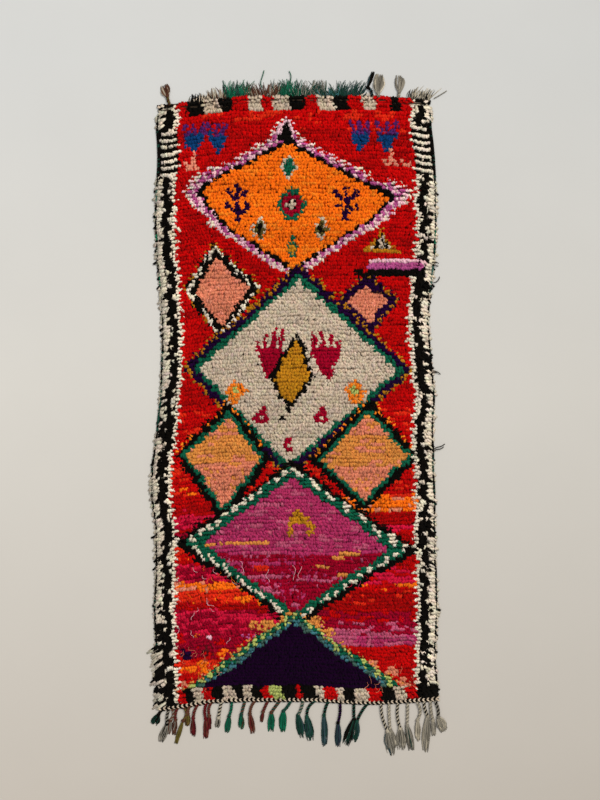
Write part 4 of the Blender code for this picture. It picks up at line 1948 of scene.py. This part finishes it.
def pale_floor():
    """Pale plaster floor with painted shade: darker and warmer towards the foot and darker towards the right, with a
    faint mottle.
    """
    material, tree, shader = new_material("pale floor", 0.85, 0.0)
    place = add_node(tree, "TexCoord")
    feeds = {"Vector": place.outputs["Object"]}
    mottle = add_node(tree, "TexNoise", feeds, scale=2.2, detail=4.0, roughness=0.55)
    split = add_node(tree, "SeparateXYZ", feeds)
    # painted shade: the floor darkens and warms from the head end down to the foot
    level = add_node(tree, "MapRange", {"Value": split.outputs["Y"]}, from_min=-1.4, from_max=1.2)
    tone = add_node(tree, "ValToRGB", {"Fac": level.outputs["Result"]})
    tone.color_ramp.elements[0].color = (0.468, 0.425, 0.368, 1.0)
    tone.color_ramp.elements[1].color = (0.522, 0.520, 0.498, 1.0)
    tone.color_ramp.elements.new(0.55).color = (0.542, 0.518, 0.470, 1.0)
    # painted shade: the floor darkens towards the right
    side = add_node(
        tree, "MapRange", {"Value": split.outputs["X"]},
        from_min=-1.0, from_max=1.0, to_min=1.05, to_max=0.91,
    )
    soft = add_node(tree, "MapRange", {"Value": mottle.outputs["Fac"]}, to_min=0.97, to_max=1.03)
    feeds = {0: side.outputs["Result"], 1: soft.outputs["Result"]}
    both = add_node(tree, "Math", feeds, operation="MULTIPLY")
    feeds = {0: tone.outputs["Color"], "Scale": both.outputs["Value"]}
    shade = add_node(tree, "VectorMath", feeds, operation="SCALE")
    tree.links.new(shade.outputs["Vector"], shader.inputs["Base Color"])
    return material


class RUG_PT_panel(bpy.types.Panel):
    """Steps of making the rug"""

    bl_idname = "RUG_PT_panel"
    bl_label = "Boucherouite Rug"
    bl_space_type = "VIEW_3D"
    bl_region_type = "UI"
    bl_category = "Rug"

    def draw(self, context):
        for step in STEPS:
            self.layout.operator(step.bl_idname)
        for name, _ in SETTINGS:
            group = getattr(context.scene, name)
            box = self.layout.box()
            for field in group.bl_rna.properties.keys():
                if field not in ("rna_type", "name"):
                    box.prop(group, field)


STEPS = (
    RUG_OT_foundation,
    RUG_OT_pile,
    RUG_OT_selvedges,
    RUG_OT_twined_cord,
    RUG_OT_head_web,
    RUG_OT_head_shag,
    RUG_OT_tassels,
    RUG_OT_threads,
    RUG_OT_declare_cloth,
    RUG_OT_stage,
)
SETTINGS = (
    ("rug_knots", RugKnotSettings),
    ("rug_fringe", RugFringeSettings),
    ("rug_yarns", RugYarnSettings),
    ("rug_stage", RugStageSettings),
)


def register():
    for name, group in SETTINGS:
        bpy.utils.register_class(group)
        setattr(bpy.types.Scene, name, bpy.props.PointerProperty(type=group))
    for step in STEPS:
        bpy.utils.register_class(step)
    bpy.utils.register_class(RUG_PT_panel)


def unregister():
    bpy.utils.unregister_class(RUG_PT_panel)
    for step in reversed(STEPS):
        bpy.utils.unregister_class(step)
    for name, group in reversed(SETTINGS):
        delattr(bpy.types.Scene, name)
        bpy.utils.unregister_class(group)


def write_sizes():
    boxes = {
        "cad": [[float(v) for v in corner] for corner in CAD_BOX],
        "visual": [[float(v) for v in corner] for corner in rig.bounds()],
    }
    with open(SIZE_FILE, "w") as file:
        json.dump(boxes, file)


def main():
    register()
    bpy.ops.rug.foundation()
    bpy.ops.rug.pile()
    bpy.ops.rug.selvedges()
    bpy.ops.rug.twined_cord()
    bpy.ops.rug.head_web()
    bpy.ops.rug.head_shag()
    bpy.ops.rug.tassels()
    bpy.ops.rug.threads()
    bpy.ops.rug.declare_cloth()
    bpy.ops.rug.stage()
    write_sizes()


if __name__ == "__main__":
    main()
